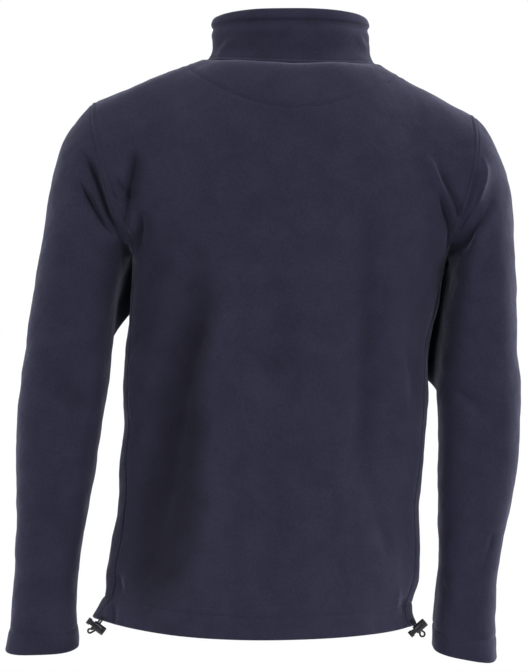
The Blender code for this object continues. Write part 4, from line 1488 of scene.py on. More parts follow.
@dataclass
class Sleeve:
    """A sleeve: rings that fan out from the armhole to the arm's line."""

    name: str
    side: Side
    form: Form
    cloth: Cloth
    relief: Relief
    half_ring: int = 105
    cuff_step: float = 24.0
    even_row: float = 4.0
    length: float = 640.0
    tuck_turn: float = 0.9
    tuck_width: float = 0.36
    tuck_top: float = 16.0
    tuck_start: float = 1.5
    crevice_shade_width: float = 0.75
    tucks: tuple = (("left", (-358.0, -206.0, 47.0, 98.0)), ("right", (-410.0, -206.0, 45.0, 58.0)))

    def build(self, sewing: Sewing) -> Object:
        """The sleeve's wall, with its stitches added to the sewing.

        Args:
            sewing: takes the sleeve's stitches.

        Returns:
            The sleeve.
        """
        form, cloth = self.form, self.cloth
        rows = self.side.sleeve
        last = len(rows) - 1
        places = self.row_places(last)
        table = smooth_through(np.arange(last + 1), rows, places)
        up, _ = form.corner(np.linspace(0, 1, self.half_ring))
        behind = form.turns_at(up)
        seam = np.concatenate([behind, -behind[::-1][1:-1]])
        even = np.linspace(math.pi, -math.pi, len(seam), endpoint=False)
        turns = seam + (even - seam) * ease(places / self.even_row)[:, None]
        outer = form.ring(table, turns, places)
        fade = 1 - ease(places / form.bow_rows)
        outer += fade[:, None, None] * form.scoop(self.side, turns)
        outer += self.tuck(outer, turns) * ease(places / self.tuck_start)[:, None, None]
        normals = grid_normals(outer, outer - outer.mean(axis=1, keepdims=True), wraps=True)
        normals[0], axis = form.armhole_frame(self.side, outer[0])
        distance = np.repeat(((last - places) * self.cuff_step)[:, None], outer.shape[1], axis=1)
        thick = cloth.thickness(distance, cloth.cuff_width)
        folds = self.relief.height(outer, normals) * cloth.give(arc_from(outer, 0))
        height = folds + cloth.swell(distance, cloth.cuff_width)
        height += cloth.seam(arc_from(outer, 0), 0.0)
        ends = cloth.rounding(distance, thick)
        outer[0] += axis * cloth.gap / 2
        grid = ClothGrid.raised(outer, normals, height, thick, ends)
        sewing.hems.add(grid.level(distance, cloth.cuff_width, closed=True))
        # Painted shade: the colour darkens in deep folds and, most, on the inner side beside the body.
        painted_shade = np.maximum(self.relief.painted_shade(folds), MOST_SHADE * self.crevice_shade(grid.outer, turns))
        return wall_object(self.name, grid, True, painted_shade)

    def row_places(self, last: int) -> Array:
        """Rows as places in the table, closer at the armhole and at the cuff.

        Args:
            last: the table's last place.

        Returns:
            Rising places from 0 to the last.
        """
        crown = (Dense(0.0, 3.0, 3.0), Dense(45.0, 60.0, 0.5))
        edge = (Dense(0.0, 2.0, 2.5), Dense(self.cuff_step, 2.0, 7.0))
        body = spaced(self.length, self.cloth.spacing, crown) / self.length * (last - 1)
        cuff = spaced(self.cuff_step, self.cloth.spacing, edge) / self.cuff_step
        return np.concatenate([body, last - 1 + cuff[1:]])

    def full(self, z: Array) -> Array:
        """How full the inner side is at a height, 0 to 1: it rises, then falls."""
        low, high, _, fade = dict(self.tucks)[self.side.value]
        return ease((z - low) / fade) * ease((high - z) / self.tuck_top)

    def crevice_shade(self, points: Array, turns: Array) -> Array:
        """Painted shade on the inner side where it lies against the body, 0 to 1.

        It is a bell over the turn about the inner line, times the fullness.
        """
        behind = np.mod(turns, 2 * math.pi) - math.pi
        return self.full(points[..., 2]) * bump(behind, self.crevice_shade_width)

    def tuck(self, points: Array, turns: Array) -> Array:
        """The fullness of the inner side, which lies against the body in front.

        It is a bell over the turn, in front of the arm's inner line, times the
        fullness.

        Args:
            points: the sleeve's points.
            turns: their turns.

        Returns:
            The shift of each.
        """
        reach = dict(self.tucks)[self.side.value][2]
        behind = np.mod(turns, 2 * math.pi) - math.pi
        swell = reach * self.full(points[..., 2]) * bump(behind - self.tuck_turn, self.tuck_width)
        return swell[..., None] * np.array([-self.side.sign, 0.0, 0.0])


@dataclass
class Collar:
    """The stand collar: a two-ply wall round the neck, open at the zip."""

    form: Form
    cloth: Cloth
    neck_gap: float = 0.2
    top_band: float = 14.0
    base_stitch: float = 4.2
    height: float = 64.0
    spacing: float = 2.4
    band_groove: float = 1.3
    band_width: float = 1.6
    stitch_margin: float = 3.0
    waves: tuple = ((58.0, 0.35, 0.4, 0.2), (31.0, 0.2, 1.2, 1.1))
    name: str = "collar_cloth"

    def build(self, sewing: Sewing) -> Object:
        """The collar's wall, with its stitches added to the sewing.

        Args:
            sewing: takes the collar's stitches.

        Returns:
            The collar.
        """
        form, cloth, neck = self.form, self.cloth, self.form.neck
        girth = math.pi * neck.half
        half = spaced(girth, self.spacing, (Dense(girth, 3.0, 4.0),)) / neck.half
        turns = np.concatenate([-half[::-1][:-1], half])
        part = (math.pi - np.abs(turns)) / (math.pi - neck.point_turn)
        band = self.height - self.top_band
        lines = [Dense(at, 2.2, 5.0) for at in (0.0, self.base_stitch, band, self.height)]
        shares = spaced(self.height, self.spacing, lines) / self.height
        outer = neck.collar(turns, shares)
        outer[..., 0] += np.sign(turns) * form.front_shift(part)
        normals = neck.outward(outer)
        outer[0, :, 2] += self.neck_gap / 2
        rise = (shares * self.height)[:, None] * np.ones(len(turns))
        groove = bump(rise - self.base_stitch, cloth.stitch_width)
        groove += self.band_groove * bump(rise - band, self.band_width)
        height = self.relief(outer, turns) - cloth.stitch_depth * groove
        height -= cloth.seam_depth * bump(rise, cloth.seam_width)
        thick = np.full(outer.shape[:2], cloth.collar)
        ends = cloth.rounding(self.height - rise, thick)
        from_zip = np.minimum(arc_from(outer, 1), arc_from(outer, 1, from_end=True))
        ends = np.maximum(ends, cloth.rounding(from_zip, thick))
        grid = ClothGrid.raised(outer, normals, height, thick, ends)
        for line in (self.base_stitch, band):
            sewing.collar.add(grid.level(rise, line), self.stitch_margin, self.stitch_margin)
        return wall_object(self.name, grid)

    def relief(self, points: Array, turns: Array) -> Array:
        """Soft creases of the collar, as bells across short paths seen from behind.

        Args:
            points: the collar's points.
            turns: their turns.

        Returns:
            The relief at each.
        """
        flat = points.reshape(-1, 3)[:, [0, 2]]
        behind = (np.abs(turns) < math.pi / 2)[None] * np.ones(points.shape[:2])
        total = sum(fold.relief(flat, 20) for fold in COLLAR_FOLDS)
        return total.reshape(points.shape[:2]) * behind + ripple(points, self.waves)


# ------------ finishes


class Graph:
    """A node tree that is easy to fill: nodes are made with their inputs."""

    def __init__(self, tree: bpy.types.NodeTree) -> None:
        """Hold a tree, and later its group's inputs."""
        self.tree = tree
        self.given: object = None

    def add(self, kind: str, inputs: dict | None = None, **settings: object) -> Node:
        """Add a node.

        Args:
            kind: the node's type, without its ShaderNode prefix.
            inputs: as for fill.
            settings: the node's own properties.

        Returns:
            The node.
        """
        node = self.tree.nodes.new(kind if kind.startswith("NodeGroup") else f"ShaderNode{kind}")
        for key, value in settings.items():
            setattr(node, key, value)
        self.fill(node, inputs or {})
        return node

    def fill(self, node: Node, inputs: dict) -> None:
        """Give a node's inputs their values or sockets.

        Args:
            node: the node.
            inputs: for each input's name or number, a value or a socket.
        """
        for key, value in inputs.items():
            if isinstance(value, Socket):
                self.tree.links.new(value, node.inputs[key])
            else:
                node.inputs[key].default_value = value

    def math(self, operation: str, *values: object) -> Socket:
        """A Math node's result."""
        return self.add("Math", dict(enumerate(values)), operation=operation).outputs[0]

    def scaled(self, vector: Socket, factor: object) -> Socket:
        """A vector or a colour times a number."""
        return self.add("VectorMath", {0: vector, "Scale": factor}, operation="SCALE").outputs[0]

    def noise(self, where: Socket, scale: float, detail: float = 2.0, distortion: float = 0.0) -> Socket:
        """A Noise Texture's value."""
        inputs = {"Vector": where, "Scale": scale, "Detail": detail, "Distortion": distortion}
        return self.add("TexNoise", inputs).outputs["Fac"]

    def mix(self, share: object, first: object, second: object) -> Socket:
        """A colour between two colours."""
        return self.add("Mix", {0: share, 6: first, 7: second}, data_type="RGBA").outputs[2]

    def remap(self, value: Socket, low: float, high: float, to_low: float = 0.0,
              to_high: float = 1.0) -> Socket:
        """A value moved from one range to another, and kept inside it."""
        inputs = {"Value": value, "From Min": low, "From Max": high, "To Min": to_low, "To Max": to_high}
        return self.add("MapRange", inputs).outputs["Result"]


FLOAT = "NodeSocketFloat"


def node_group(name: str, inputs: dict[str, float], outputs: Sequence[str]) -> tuple[Graph, Node, Socket]:
    """A new shader node group of numbers, with a Scale input for its pattern.

    Args:
        name: the group's name.
        inputs: its other inputs and their usual values.
        outputs: the names of its outputs.

    Returns:
        The group's graph, its output node and the scaled object coordinates.
    """
    group = bpy.data.node_groups.new(name, "ShaderNodeTree")
    for key, value in {"Scale": 1.0, **inputs}.items():
        group.interface.new_socket(name=key, in_out="INPUT", socket_type=FLOAT).default_value = value
    for key in outputs:
        group.interface.new_socket(name=key, in_out="OUTPUT", socket_type=FLOAT)
    graph = Graph(group)
    graph.given = group.nodes.new("NodeGroupInput").outputs
    where = graph.scaled(graph.add("TexCoord").outputs["Object"], graph.given["Scale"])
    return graph, group.nodes.new("NodeGroupOutput"), where


def nap_group() -> None:
    """Brushed fleece: tufts about 1.2 mm across, their fibres, and broad matting.

    Height is the tufts' relief; Tone runs from matted to fluffy; Patch is the
    broad unevenness of the brushing. Pills is the share of the matted balls.
    """
    graph, out, where = node_group("fleece_nap", {"Pills": 0.3}, ("Height", "Tone", "Patch"))
    warp = graph.add("TexNoise", {"Vector": where, "Scale": 260.0, "Detail": 1.0}).outputs["Color"]
    bent = graph.add("VectorMath", {0: where, 1: graph.scaled(warp, 0.0022)}, operation="ADD").outputs[0]
    tufts = graph.noise(bent, 820.0, 3.0, 0.6)
    fibres = graph.noise(where, 2300.0, 2.0, 1.5)
    pills = graph.noise(bent, 300.0, 2.0)
    patch = graph.noise(where, 34.0, 3.0, 0.4)
    height = graph.math("ADD", graph.math("MULTIPLY", tufts, 0.62), graph.math("MULTIPLY", fibres, 0.16))
    height = graph.math("ADD", height, graph.math("MULTIPLY", pills, graph.given["Pills"]))
    share = graph.math("SUBTRACT", 1.0, graph.given["Pills"])
    tone = graph.math("ADD", graph.math("MULTIPLY", tufts, share),
                      graph.math("MULTIPLY", pills, graph.given["Pills"]))
    graph.fill(out, {"Height": height, "Tone": graph.remap(tone, 0.3, 0.7),
                     "Patch": graph.remap(patch, 0.3, 0.7)})


def grain_group() -> None:
    """Fine moulding grain and scuffs of a hard surface."""
    graph, out, where = node_group("surface_grain", {}, ("Height", "Scuff"))
    grain = graph.noise(where, 3200.0, 2.0)
    scuff = graph.noise(where, 420.0, 4.0, 1.2)
    graph.fill(out, {"Height": grain, "Scuff": graph.remap(scuff, 0.4, 0.72)})


def weave_group() -> None:
    """A fine twill: slanted ribs crossed by the threads' beads."""
    graph, out, where = node_group("narrow_weave", {"Beads": 0.35}, ("Height", "Thread"))
    turned = graph.add("Mapping", {"Vector": where, "Rotation": (0.0, math.radians(35), 0.0)}).outputs[0]
    ribs = graph.add("TexWave", {"Vector": turned, "Scale": 560.0, "Distortion": 0.6, "Detail": 1.0},
                     bands_direction="X").outputs["Fac"]
    beads = graph.add("TexWave", {"Vector": where, "Scale": 900.0, "Distortion": 0.4},
                      bands_direction="Z").outputs["Fac"]
    height = graph.math("ADD", ribs, graph.math("MULTIPLY", beads, graph.given["Beads"]))
    graph.fill(out, {"Height": height, "Thread": graph.noise(where, 150.0, 2.0)})


@dataclass(frozen=True)
class Finish:
    """A finish made of a shared texture group and one shader."""

    name: str
    slot: str
    group: str
    deep: Triple
    light: Triple
    roughness: tuple[float, float]
    bump: float
    depth: float
    metallic: float = 0.0
    sheen: float = 0.0
    sheen_roughness: float = 0.5
    sheen_tint: Triple = (1.0, 1.0, 1.0)
    specular: float = 0.5
    patch: float = 0.0
    # how much the painted-shade attribute darkens the colour
    painted_shade: float = 0.0
    settings: tuple = ()

    def material(self) -> bpy.types.Material:
        """The finish as a material, reading the group's second value as its tone.

        Returns:
            The material.
        """
        material = bpy.data.materials.new(self.name)
        material.use_nodes = True
        graph = Graph(material.node_tree)
        texture = graph.add("Group", node_tree=bpy.data.node_groups[self.group])
        graph.fill(texture, dict(self.settings))
        height, tone = texture.outputs[0], texture.outputs[1]
        colour = graph.mix(tone, (*self.deep, 1.0), (*self.light, 1.0))
        if self.patch:
            shade = graph.remap(texture.outputs["Patch"], 0.0, 1.0, 1.0 - self.patch, 1.0 + self.patch)
            colour = graph.scaled(colour, shade)
        # Painted shade: the colour is darkened by the point attribute, in folds and beside the body.
        if self.painted_shade:
            depth = graph.add("Attribute", attribute_name="painted_shade", attribute_type="GEOMETRY").outputs["Fac"]
            dim = graph.remap(depth, 0.0, MOST_SHADE, 1.0, 1.0 - MOST_SHADE * self.painted_shade)
            colour = graph.scaled(colour, dim)
        relief = graph.add("Bump", {"Height": height, "Strength": self.bump, "Distance": self.depth})
        graph.fill(material.node_tree.nodes["Principled BSDF"], {
            "Base Color": colour, "Roughness": graph.remap(tone, 0.0, 1.0, *self.roughness),
            "Normal": relief.outputs["Normal"], "Metallic": self.metallic,
            "Specular IOR Level": self.specular, "Sheen Weight": self.sheen,
            "Sheen Roughness": self.sheen_roughness, "Sheen Tint": (*self.sheen_tint, 1.0)})
        return material


FINISHES = {
    # The fleece's colour takes painted shade in folds and where the sleeves lie against the body.
    "fleece": Finish("navy_fleece", "fleece", "fleece_nap", (0.0195, 0.0187, 0.038), (0.031, 0.0298, 0.0555),
                     (0.98, 0.9), 0.55, 0.0011, sheen=0.30, sheen_roughness=0.35,
                     sheen_tint=(0.62, 0.64, 0.86), specular=0.15, patch=0.11, painted_shade=0.5),
    "thread": Finish("navy_thread", "fleece", "narrow_weave", (0.010, 0.010, 0.020), (0.022, 0.022, 0.038),
                     (0.75, 0.55), 0.4, 0.0002, specular=0.3, settings=(("Scale", 1.4),)),
    "tape": Finish("navy_tape", "zip_tape", "narrow_weave", (0.009, 0.009, 0.018), (0.020, 0.020, 0.036),
                   (0.9, 0.72), 0.7, 0.0003, sheen=0.08, specular=0.25,
                   settings=(("Scale", 1.2), ("Beads", 0.5))),
    "teeth": Finish("dark_nylon", "zip_teeth", "surface_grain", (0.010, 0.010, 0.017), (0.018, 0.018, 0.028),
                    (0.36, 0.5), 0.15, 0.0001),
    "metal": Finish("dark_metal", "zip_metal", "surface_grain", (0.035, 0.035, 0.046), (0.09, 0.09, 0.10),
                    (0.34, 0.5), 0.12, 0.0001, metallic=0.85, settings=(("Scale", 1.5),)),
    "plastic": Finish("black_plastic", "lock_plastic", "surface_grain", (0.004, 0.004, 0.008),
                      (0.009, 0.009, 0.015), (0.3, 0.46), 0.18, 0.0001, specular=0.42),
    "braid": Finish("navy_braid", "cord_braid", "narrow_weave", (0.004, 0.004, 0.008), (0.011, 0.011, 0.019),
                    (0.85, 0.65), 0.8, 0.0004, sheen=0.04, specular=0.25),
}


class Wardrobe:
    """Makes each finish once and dresses pieces with it."""

    def __init__(self) -> None:
        """Make the shared texture groups, then the finishes."""
        for build in (nap_group, grain_group, weave_group):
            build()
        self.materials = {key: finish.material() for key, finish in FINISHES.items()}

    def dress(self, piece: Object, finish: str, body: str, *nodes: str) -> Object:
        """Give a piece its finish and its body, and hide the nodes that it stands for.

        Args:
            piece: the piece.
            finish: its finish, by its name in FINISHES.
            body: its body.
            nodes: the nodes that it stands for, which are hidden.

        Returns:
            The piece.
        """
        piece.data.materials.clear()
        piece.data.materials.append(self.materials[finish])
        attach(piece, body)
        if nodes:
            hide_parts(*nodes)
        LOG.info("%s: %s, on %s", piece.name, finish, body)
        return piece


# ------------ zip and cords


@dataclass
class Zip:
    """The closed zip behind the front edges: two tapes and a nylon coil."""

    form: Form
    cloth: Cloth
    tape_width: float = 14.0
    tape_thick: float = 0.8
    tape_slot: float = 1.2
    clearance: float = 1.0
    tape_bend: float = 125.0
    chain_width: float = 5.6
    chain_thick: float = 2.2
    pitch: float = 2.5
    seam_gap: float = 0.3
    coarse_heights: tuple = (-666.0, -653.0, -641.0, -636.0)
    lower_rows: int = 14
    upper_rows: int = 10
    half_columns: int = 15
    end_gap: float = 2.0
    steps: int = 260
    tape_steps: int = 8
    bar_stations: tuple = (-0.30, -0.24, -0.05, 0.40, 0.47, 0.50)
    bar_fullness: tuple = (0.45, 0.95, 1.0, 1.0, 0.85, 0.4)
    bar_breadth: float = 0.235

    def line(self) -> tuple[Array, Array, Array]:
        """The zip's centre line, its outward normals and its depth in the cloth.

        Returns:
            Three arrays of even steps from hem to top.
        """
        form, cloth = self.form, self.cloth
        even = np.linspace(self.coarse_heights[-1], TORSO[-1].z, self.lower_rows)
        heights = np.concatenate([self.coarse_heights, even[1:]])
        climbs = np.linspace(0, 1, self.upper_rows + 1)[1:]
        body = form.panel(np.array([0.0, 1 / self.half_columns]), heights, climbs, Face.FRONT)[:, 0]
        shares = np.array([row.share for row in COLLAR_ROWS[1:]])
        line = np.concatenate([body, form.neck.collar(np.array([math.pi]), shares)[:, 0]])
        line[0, 2] += self.end_gap
        line[-1, 2] -= self.end_gap
        along = np.gradient(line, axis=0)
        normals = unit(np.stack([np.zeros(len(line)), -along[:, 2], along[:, 1]], axis=-1))
        depth = cloth.thickness(line[:, 2] - line[0, 2], cloth.hem_width) + self.clearance
        depth[len(body) - 2:] = cloth.collar + self.clearance
        run = run_of(line)
        places = np.linspace(0, run[-1], self.steps + 1)
        return read_at(places, run, line), unit(read_at(places, run, normals)), np.interp(places, run, depth)

    def tape(self, side: Side) -> Object:
        """One tape: a thin strip bent to the body, x^2 / 2r at x from the middle.

        Args:
            side: which tape.

        Returns:
            The tape.
        """
        line, normals, depth = self.line()
        across = np.linspace(self.tape_slot / 2, self.tape_width, self.tape_steps + 1) * side.sign
        outer = np.repeat((line - normals * depth[:, None])[:, None], len(across), axis=1)
        outer[..., 0] += across
        outer[..., 1] += across**2 / (2 * self.tape_bend)
        spread = np.repeat(normals[:, None], len(across), axis=1)
        grid = ClothGrid(outer, outer - spread * self.tape_thick, spread)
        return wall_object(f"zip_tape_cloth_{side.value}", grid)

    def coil(self) -> Object:
        """The closed coil: rounded bars from each side in turn, meeting in the middle.

        Returns:
            The coil.
        """
        line, normals, depth = self.line()
        centre = Line(line - normals * (depth - self.seam_gap - self.chain_thick / 2)[:, None], normals)
        points, tangents, outs = centre.at(self.pitch / 2, 1.0, 1.0)
        sides = np.cross(tangents, outs)
        mirror = np.ones((len(points), 1, 3))
        mirror[::2, :, 0] = -1
        fullness = np.array(self.bar_fullness)[:, None]
        turns = np.arange(8) * math.pi / 4
        x = np.array(self.bar_stations)[:, None] * self.chain_width * np.ones(8)
        y = fullness * np.cos(turns) * self.pitch * self.bar_breadth
        z = fullness * np.sin(turns) * self.chain_thick / 2
        template = np.stack([x, y, z], axis=-1).reshape(-1, 3)
        axes = np.stack([sides, tangents, outs], axis=1)
        bars = points[:, None] + np.einsum("nvk,nkc->nvc", template * mirror, axes)
        index = np.arange(len(template)).reshape(-1, 8)
        ends = np.concatenate([index[:1, [0, 1, 2, 3]], index[:1, [0, 3, 4, 7]], index[:1, [4, 5, 6, 7]],
                               index[-1:, [3, 2, 1, 0]], index[-1:, [7, 4, 3, 0]], index[-1:, [7, 6, 5, 4]]])
        faces = quads(ringed(index))[:, [0, 3, 2, 1]]
        return repeated_object("zip_coil", bars, np.concatenate([faces, ends]))

    def slider_point(self, height: float = 30.0) -> Array:
        """The slider's point on the coil's face, on the front of the collar.

        Args:
            height: how far up the collar.

        Returns:
            The point.
        """
        neck = self.form.neck
        shares = [row.share for row in COLLAR_ROWS]
        points = neck.collar(np.array([math.pi]), np.array(shares))[:, 0]
        share = height / (neck.top_front_z - neck.front_z)
        point = smooth_through(shares, points, np.array([share]))[0]
        point[1] += self.cloth.collar + self.clearance - self.seam_gap - self.chain_thick
        return point


def fillet(corners: Sequence, reach: Sequence[float], steps: int = 4) -> Array:
    """A profile whose inner corners are rounded by parabolic arcs.

    Args:
        corners: the profile's points.
        reach: for each inner corner, how far from it the arc starts; 0 keeps it sharp.
        steps: steps in each arc.

    Returns:
        The rounded profile.
    """
    corners = np.asarray(corners, float)
    share = np.linspace(0, 1, steps + 1)[:, None]
    parts = [corners[:1]]
    for before, corner, after, size in zip(corners[:-2], corners[1:-1], corners[2:], reach):
        start, end = corner + size * unit(before - corner), corner + size * unit(after - corner)
        arc = (1 - share)**2 * start + 2 * share * (1 - share) * corner + share**2 * end
        parts.append(arc if size else corner[None])
    return np.concatenate(parts + [corners[-1:]])


FLUTES = 12


def turned_object(name: str, profile: Array, flutes: Array, sides: int, frame: Frame) -> Object:
    """A closed turned solid about a lock's X axis.

    Args:
        name: the object's name.
        profile: (x, radius) points; the first and last lie on the axis.
        flutes: depth of the grooves at each profile point; the radius loses
            half of it times 1 + cos(FLUTES a) at the turn a.
        sides: points in each ring.
        frame: the lock's frame.

    Returns:
        The linked object.
    """
    turns = np.arange(sides) * 2 * math.pi / sides
    radius = profile[1:-1, 1:2] - flutes[1:-1, None] * (1 + np.cos(FLUTES * turns)) / 2
    along = profile[1:-1, :1] * np.ones(sides)
    rings = np.stack([along, radius * np.cos(turns), radius * np.sin(turns)], axis=-1)
    poles = [[profile[0, 0], 0, 0], [profile[-1, 0], 0, 0]]
    points = frame.world(np.concatenate([rings.reshape(-1, 3), poles]))
    count = len(rings) * sides
    ring = ringed(np.arange(count).reshape(-1, sides))
    faces = quads(ring).tolist()
    faces += [(count, after, at) for at, after in zip(ring[0, :-1].tolist(), ring[0, 1:].tolist())]
    faces += [(count + 1, at, after) for at, after in zip(ring[-1, :-1].tolist(), ring[-1, 1:].tolist())]
    return mesh_object(name, points, faces)


def prisms_object(name: str, prisms: Sequence) -> Object:
    """Closed prisms as one piece.

    Args:
        name: the object's name.
        prisms: for each, its anticlockwise outline in a frame's X and Y, its
            lower and upper Z, and the frame.

    Returns:
        The linked object.
    """
    points, faces, start = [], [], 0
    for outline, low, high, frame in prisms:
        count = len(outline)
        levels = np.array([low, high])[:, None] * np.ones(count)
        flat = np.broadcast_to(outline, (2, *outline.shape))
        points.append(frame.world(np.concatenate([flat, levels[..., None]], axis=-1).reshape(-1, 3)))
        below, above = range(start, start + count), range(start + count, start + 2 * count)
        faces += [tuple(below)[::-1], tuple(above)]
        faces += [(below[at - 1], below[at], above[at], above[at - 1]) for at in range(count)]
        start += 2 * count
    return mesh_object(name, np.concatenate(points), faces)


def carve(piece: Object, outline: Array, reach: float, frame: Frame) -> None:
    """Cut a hole along a frame's Z axis, with the given outline in X and Y.

    Args:
        piece: the piece to cut.
        outline: the hole's outline.
        reach: how far it goes both ways.
        frame: the frame.
    """
    tool = prisms_object("hole", [(outline, -reach, reach, frame)])
    cut = piece.modifiers.new("hole", "BOOLEAN")
    cut.operation, cut.object = "DIFFERENCE", tool
    carved = piece.evaluated_get(bpy.context.evaluated_depsgraph_get())
    result = bpy.data.meshes.new_from_object(carved)
    piece.modifiers.clear()
    piece.data = result
    bpy.data.objects.remove(tool)


def soften_edges(piece: Object, width: float) -> None:
    """Round off a hard piece's edges, with a bevel of the given width.

    Args:
        piece: the piece.
        width: the width, in millimetres.
    """
    edges = piece.modifiers.new("soft_edges", "BEVEL")
    edges.width, edges.segments = width * MM, 2
    edges.limit_method, edges.angle_limit = "ANGLE", SHARP
    piece.data.shade_smooth()
    piece.data.set_sharp_from_angle(angle=SHARP)


def slot_outline(low: float, high: float, width: float, steps: int = 8) -> Array:
    """A slot with round ends, as an anticlockwise outline.

    Args:
        low: the slot's lower end in X.
        high: its upper end.
        width: its width.
        steps: points in each round end.

    Returns:
        The outline's points.
    """
    radius = width / 2
    turn = np.linspace(-math.pi / 2, math.pi / 2, steps)
    right = np.stack([high - radius + radius * np.cos(turn), radius * np.sin(turn)], axis=-1)
    left = np.stack([low + radius - radius * np.cos(turn), -radius * np.sin(turn)], axis=-1)
    return np.concatenate([right, left])


@dataclass
class Drawcord:
    """The free loop of the hem cord, out of the hem and through its lock."""

    place: LockPlace
    diameter: float = 2.2
    strand_gap: float = 2.6
    entry: float = 13.5
    mouth: float = -5.2
    loop_middle: float = -8.8
    loop_turns: tuple = (185.0, 225.0, 270.0, 315.0, 355.0, 385.0)
    loops: tuple = (("left", (2.9, 2.5)), ("right", (0.8, 2.9)))
    points: int = 60

    def route(self) -> Array:
        """The cord's centre line, in millimetres: down, round its loop and up.

        Returns:
            The line's points.
        """
        half = self.strand_gap / 2
        centre, radius = dict(self.loops)[self.place.side]
        turns = np.radians(self.loop_turns)
        ring = zip(centre + radius * np.cos(turns), self.loop_middle + radius * np.sin(turns))
        keys = [(-half, self.entry), (-half, 0.0), (-half, self.mouth), *ring,
                (half, self.mouth), (half, 0.0), (half, self.entry)]
        run = run_of(keys)
        flat = smooth_through(run, keys, np.linspace(0, run[-1], self.points))
        return self.place.frame.world(np.stack([flat[:, 0], np.zeros(len(flat)), flat[:, 1]], axis=-1))

    def build(self) -> tuple[Object, float]:
        """The cord as a round curve, and its length in metres.

        Returns:
            The cord and its length.
        """
        points = self.route() * MM
        name = f"drawcord_braid_{self.place.side}"
        curve = bpy.data.curves.new(name, "CURVE")
        curve.dimensions = "3D"
        curve.bevel_depth = self.diameter / 2 * MM
        curve.bevel_resolution = 4
        curve.use_fill_caps = True
        spline = curve.splines.new("POLY")
        spline.points.add(len(points) - 1)
        spline.points.foreach_set("co", np.concatenate([points, np.ones((len(points), 1))], axis=1).ravel())
        spline.use_smooth = True
        return linked(name, curve), float(run_of(points)[-1])


@dataclass
class CordLock:
    """A sprung cord lock: a fluted barrel and the plunger pushed into it."""

    place: LockPlace
    radius: float = 5.2
    end: float = -11.6
    mouth: float = 4.6
    floor: float = 2.5
    stem: float = 3.1
    play: float = 0.4
    travel: float = 3.5
    head_gap: float = 0.4
    head_radius: float = 4.5
    head_thick: float = 4.3
    waist: float = 0.7
    tail: float = 1.6
    slot_reach: float = 2.4
    slot_width: float = 2.8
    flute: float = 0.55
    edge: float = 0.22
    end_round: float = 1.5
    plain_end: float = 2.4
    plain_slot: float = 1.6
    band_rows: int = 14
    sides: int = 72

    def barrel(self) -> Object:
        """The barrel, with its blind bore and the cord's way across it.

        Returns:
            The barrel.
        """
        bore, low, high = self.stem + self.play, self.end, self.mouth
        band = np.linspace(low + self.plain_end, -self.slot_reach - self.plain_slot, self.band_rows)
        corners = [(low, 0), (low, self.radius), (low + 2.0, self.radius)]
        body = [(x, self.radius) for x in band]
        rest = [(high, self.radius), (high, bore), (low + self.floor, bore), (low + self.floor, 0)]
        profile = np.concatenate([fillet(corners, [self.end_round]), body,
                                  fillet([(0, self.radius), *rest], [0.9, 0.5, 0.3])])
        window = bump(profile[:, 0] - band.mean(), (band[-1] - band[0]) / 3)
        flutes = self.flute * window * (profile[:, 1] > self.radius - 0.01)
        name = f"cord_lock_barrel_{self.place.side}"
        piece = turned_object(name, profile, flutes, self.sides, self.place.frame)
        return self.finish(piece, self.slot_reach + 0.3, self.slot_reach + 0.3)

    def plunger(self) -> Object:
        """The plunger: a slotted stem and a waisted head.

        Returns:
            The plunger.
        """
        low, head = -self.slot_reach - self.tail, self.mouth + self.travel + self.head_gap
        corners = [(low, 0), (low, self.stem), (head, self.stem), (head, self.head_radius),
                   (head + self.head_thick / 2, self.head_radius - self.waist),
                   (head + self.head_thick, self.head_radius), (head + self.head_thick, 0)]
        profile = fillet(corners, [0.6, 0.0, 0.6, 1.2, 1.2])
        name = f"cord_lock_plunger_{self.place.side}"
        piece = turned_object(name, profile, np.zeros(len(profile)), self.sides, self.place.frame)
        return self.finish(piece, self.slot_reach + 0.2, self.slot_reach + self.travel + 0.3)

    def finish(self, piece: Object, low: float, high: float) -> Object:
        """Cut the cord's slot and round off a piece's slot edges.

        Args:
            piece: the piece.
            low: the slot's reach towards the barrel's end.
            high: its reach towards the head.

        Returns:
            The piece.
        """
        carve(piece, slot_outline(-low, high, self.slot_width), 4 * self.radius, self.place.frame)
        soften_edges(piece, self.edge)
        return piece


def mirrored(half: Array) -> Array:
    """An anticlockwise outline from its half, which runs with Y above 0."""
    return np.concatenate([half[::-1], (half * np.array([1.0, -1.0]))[1:-1]])


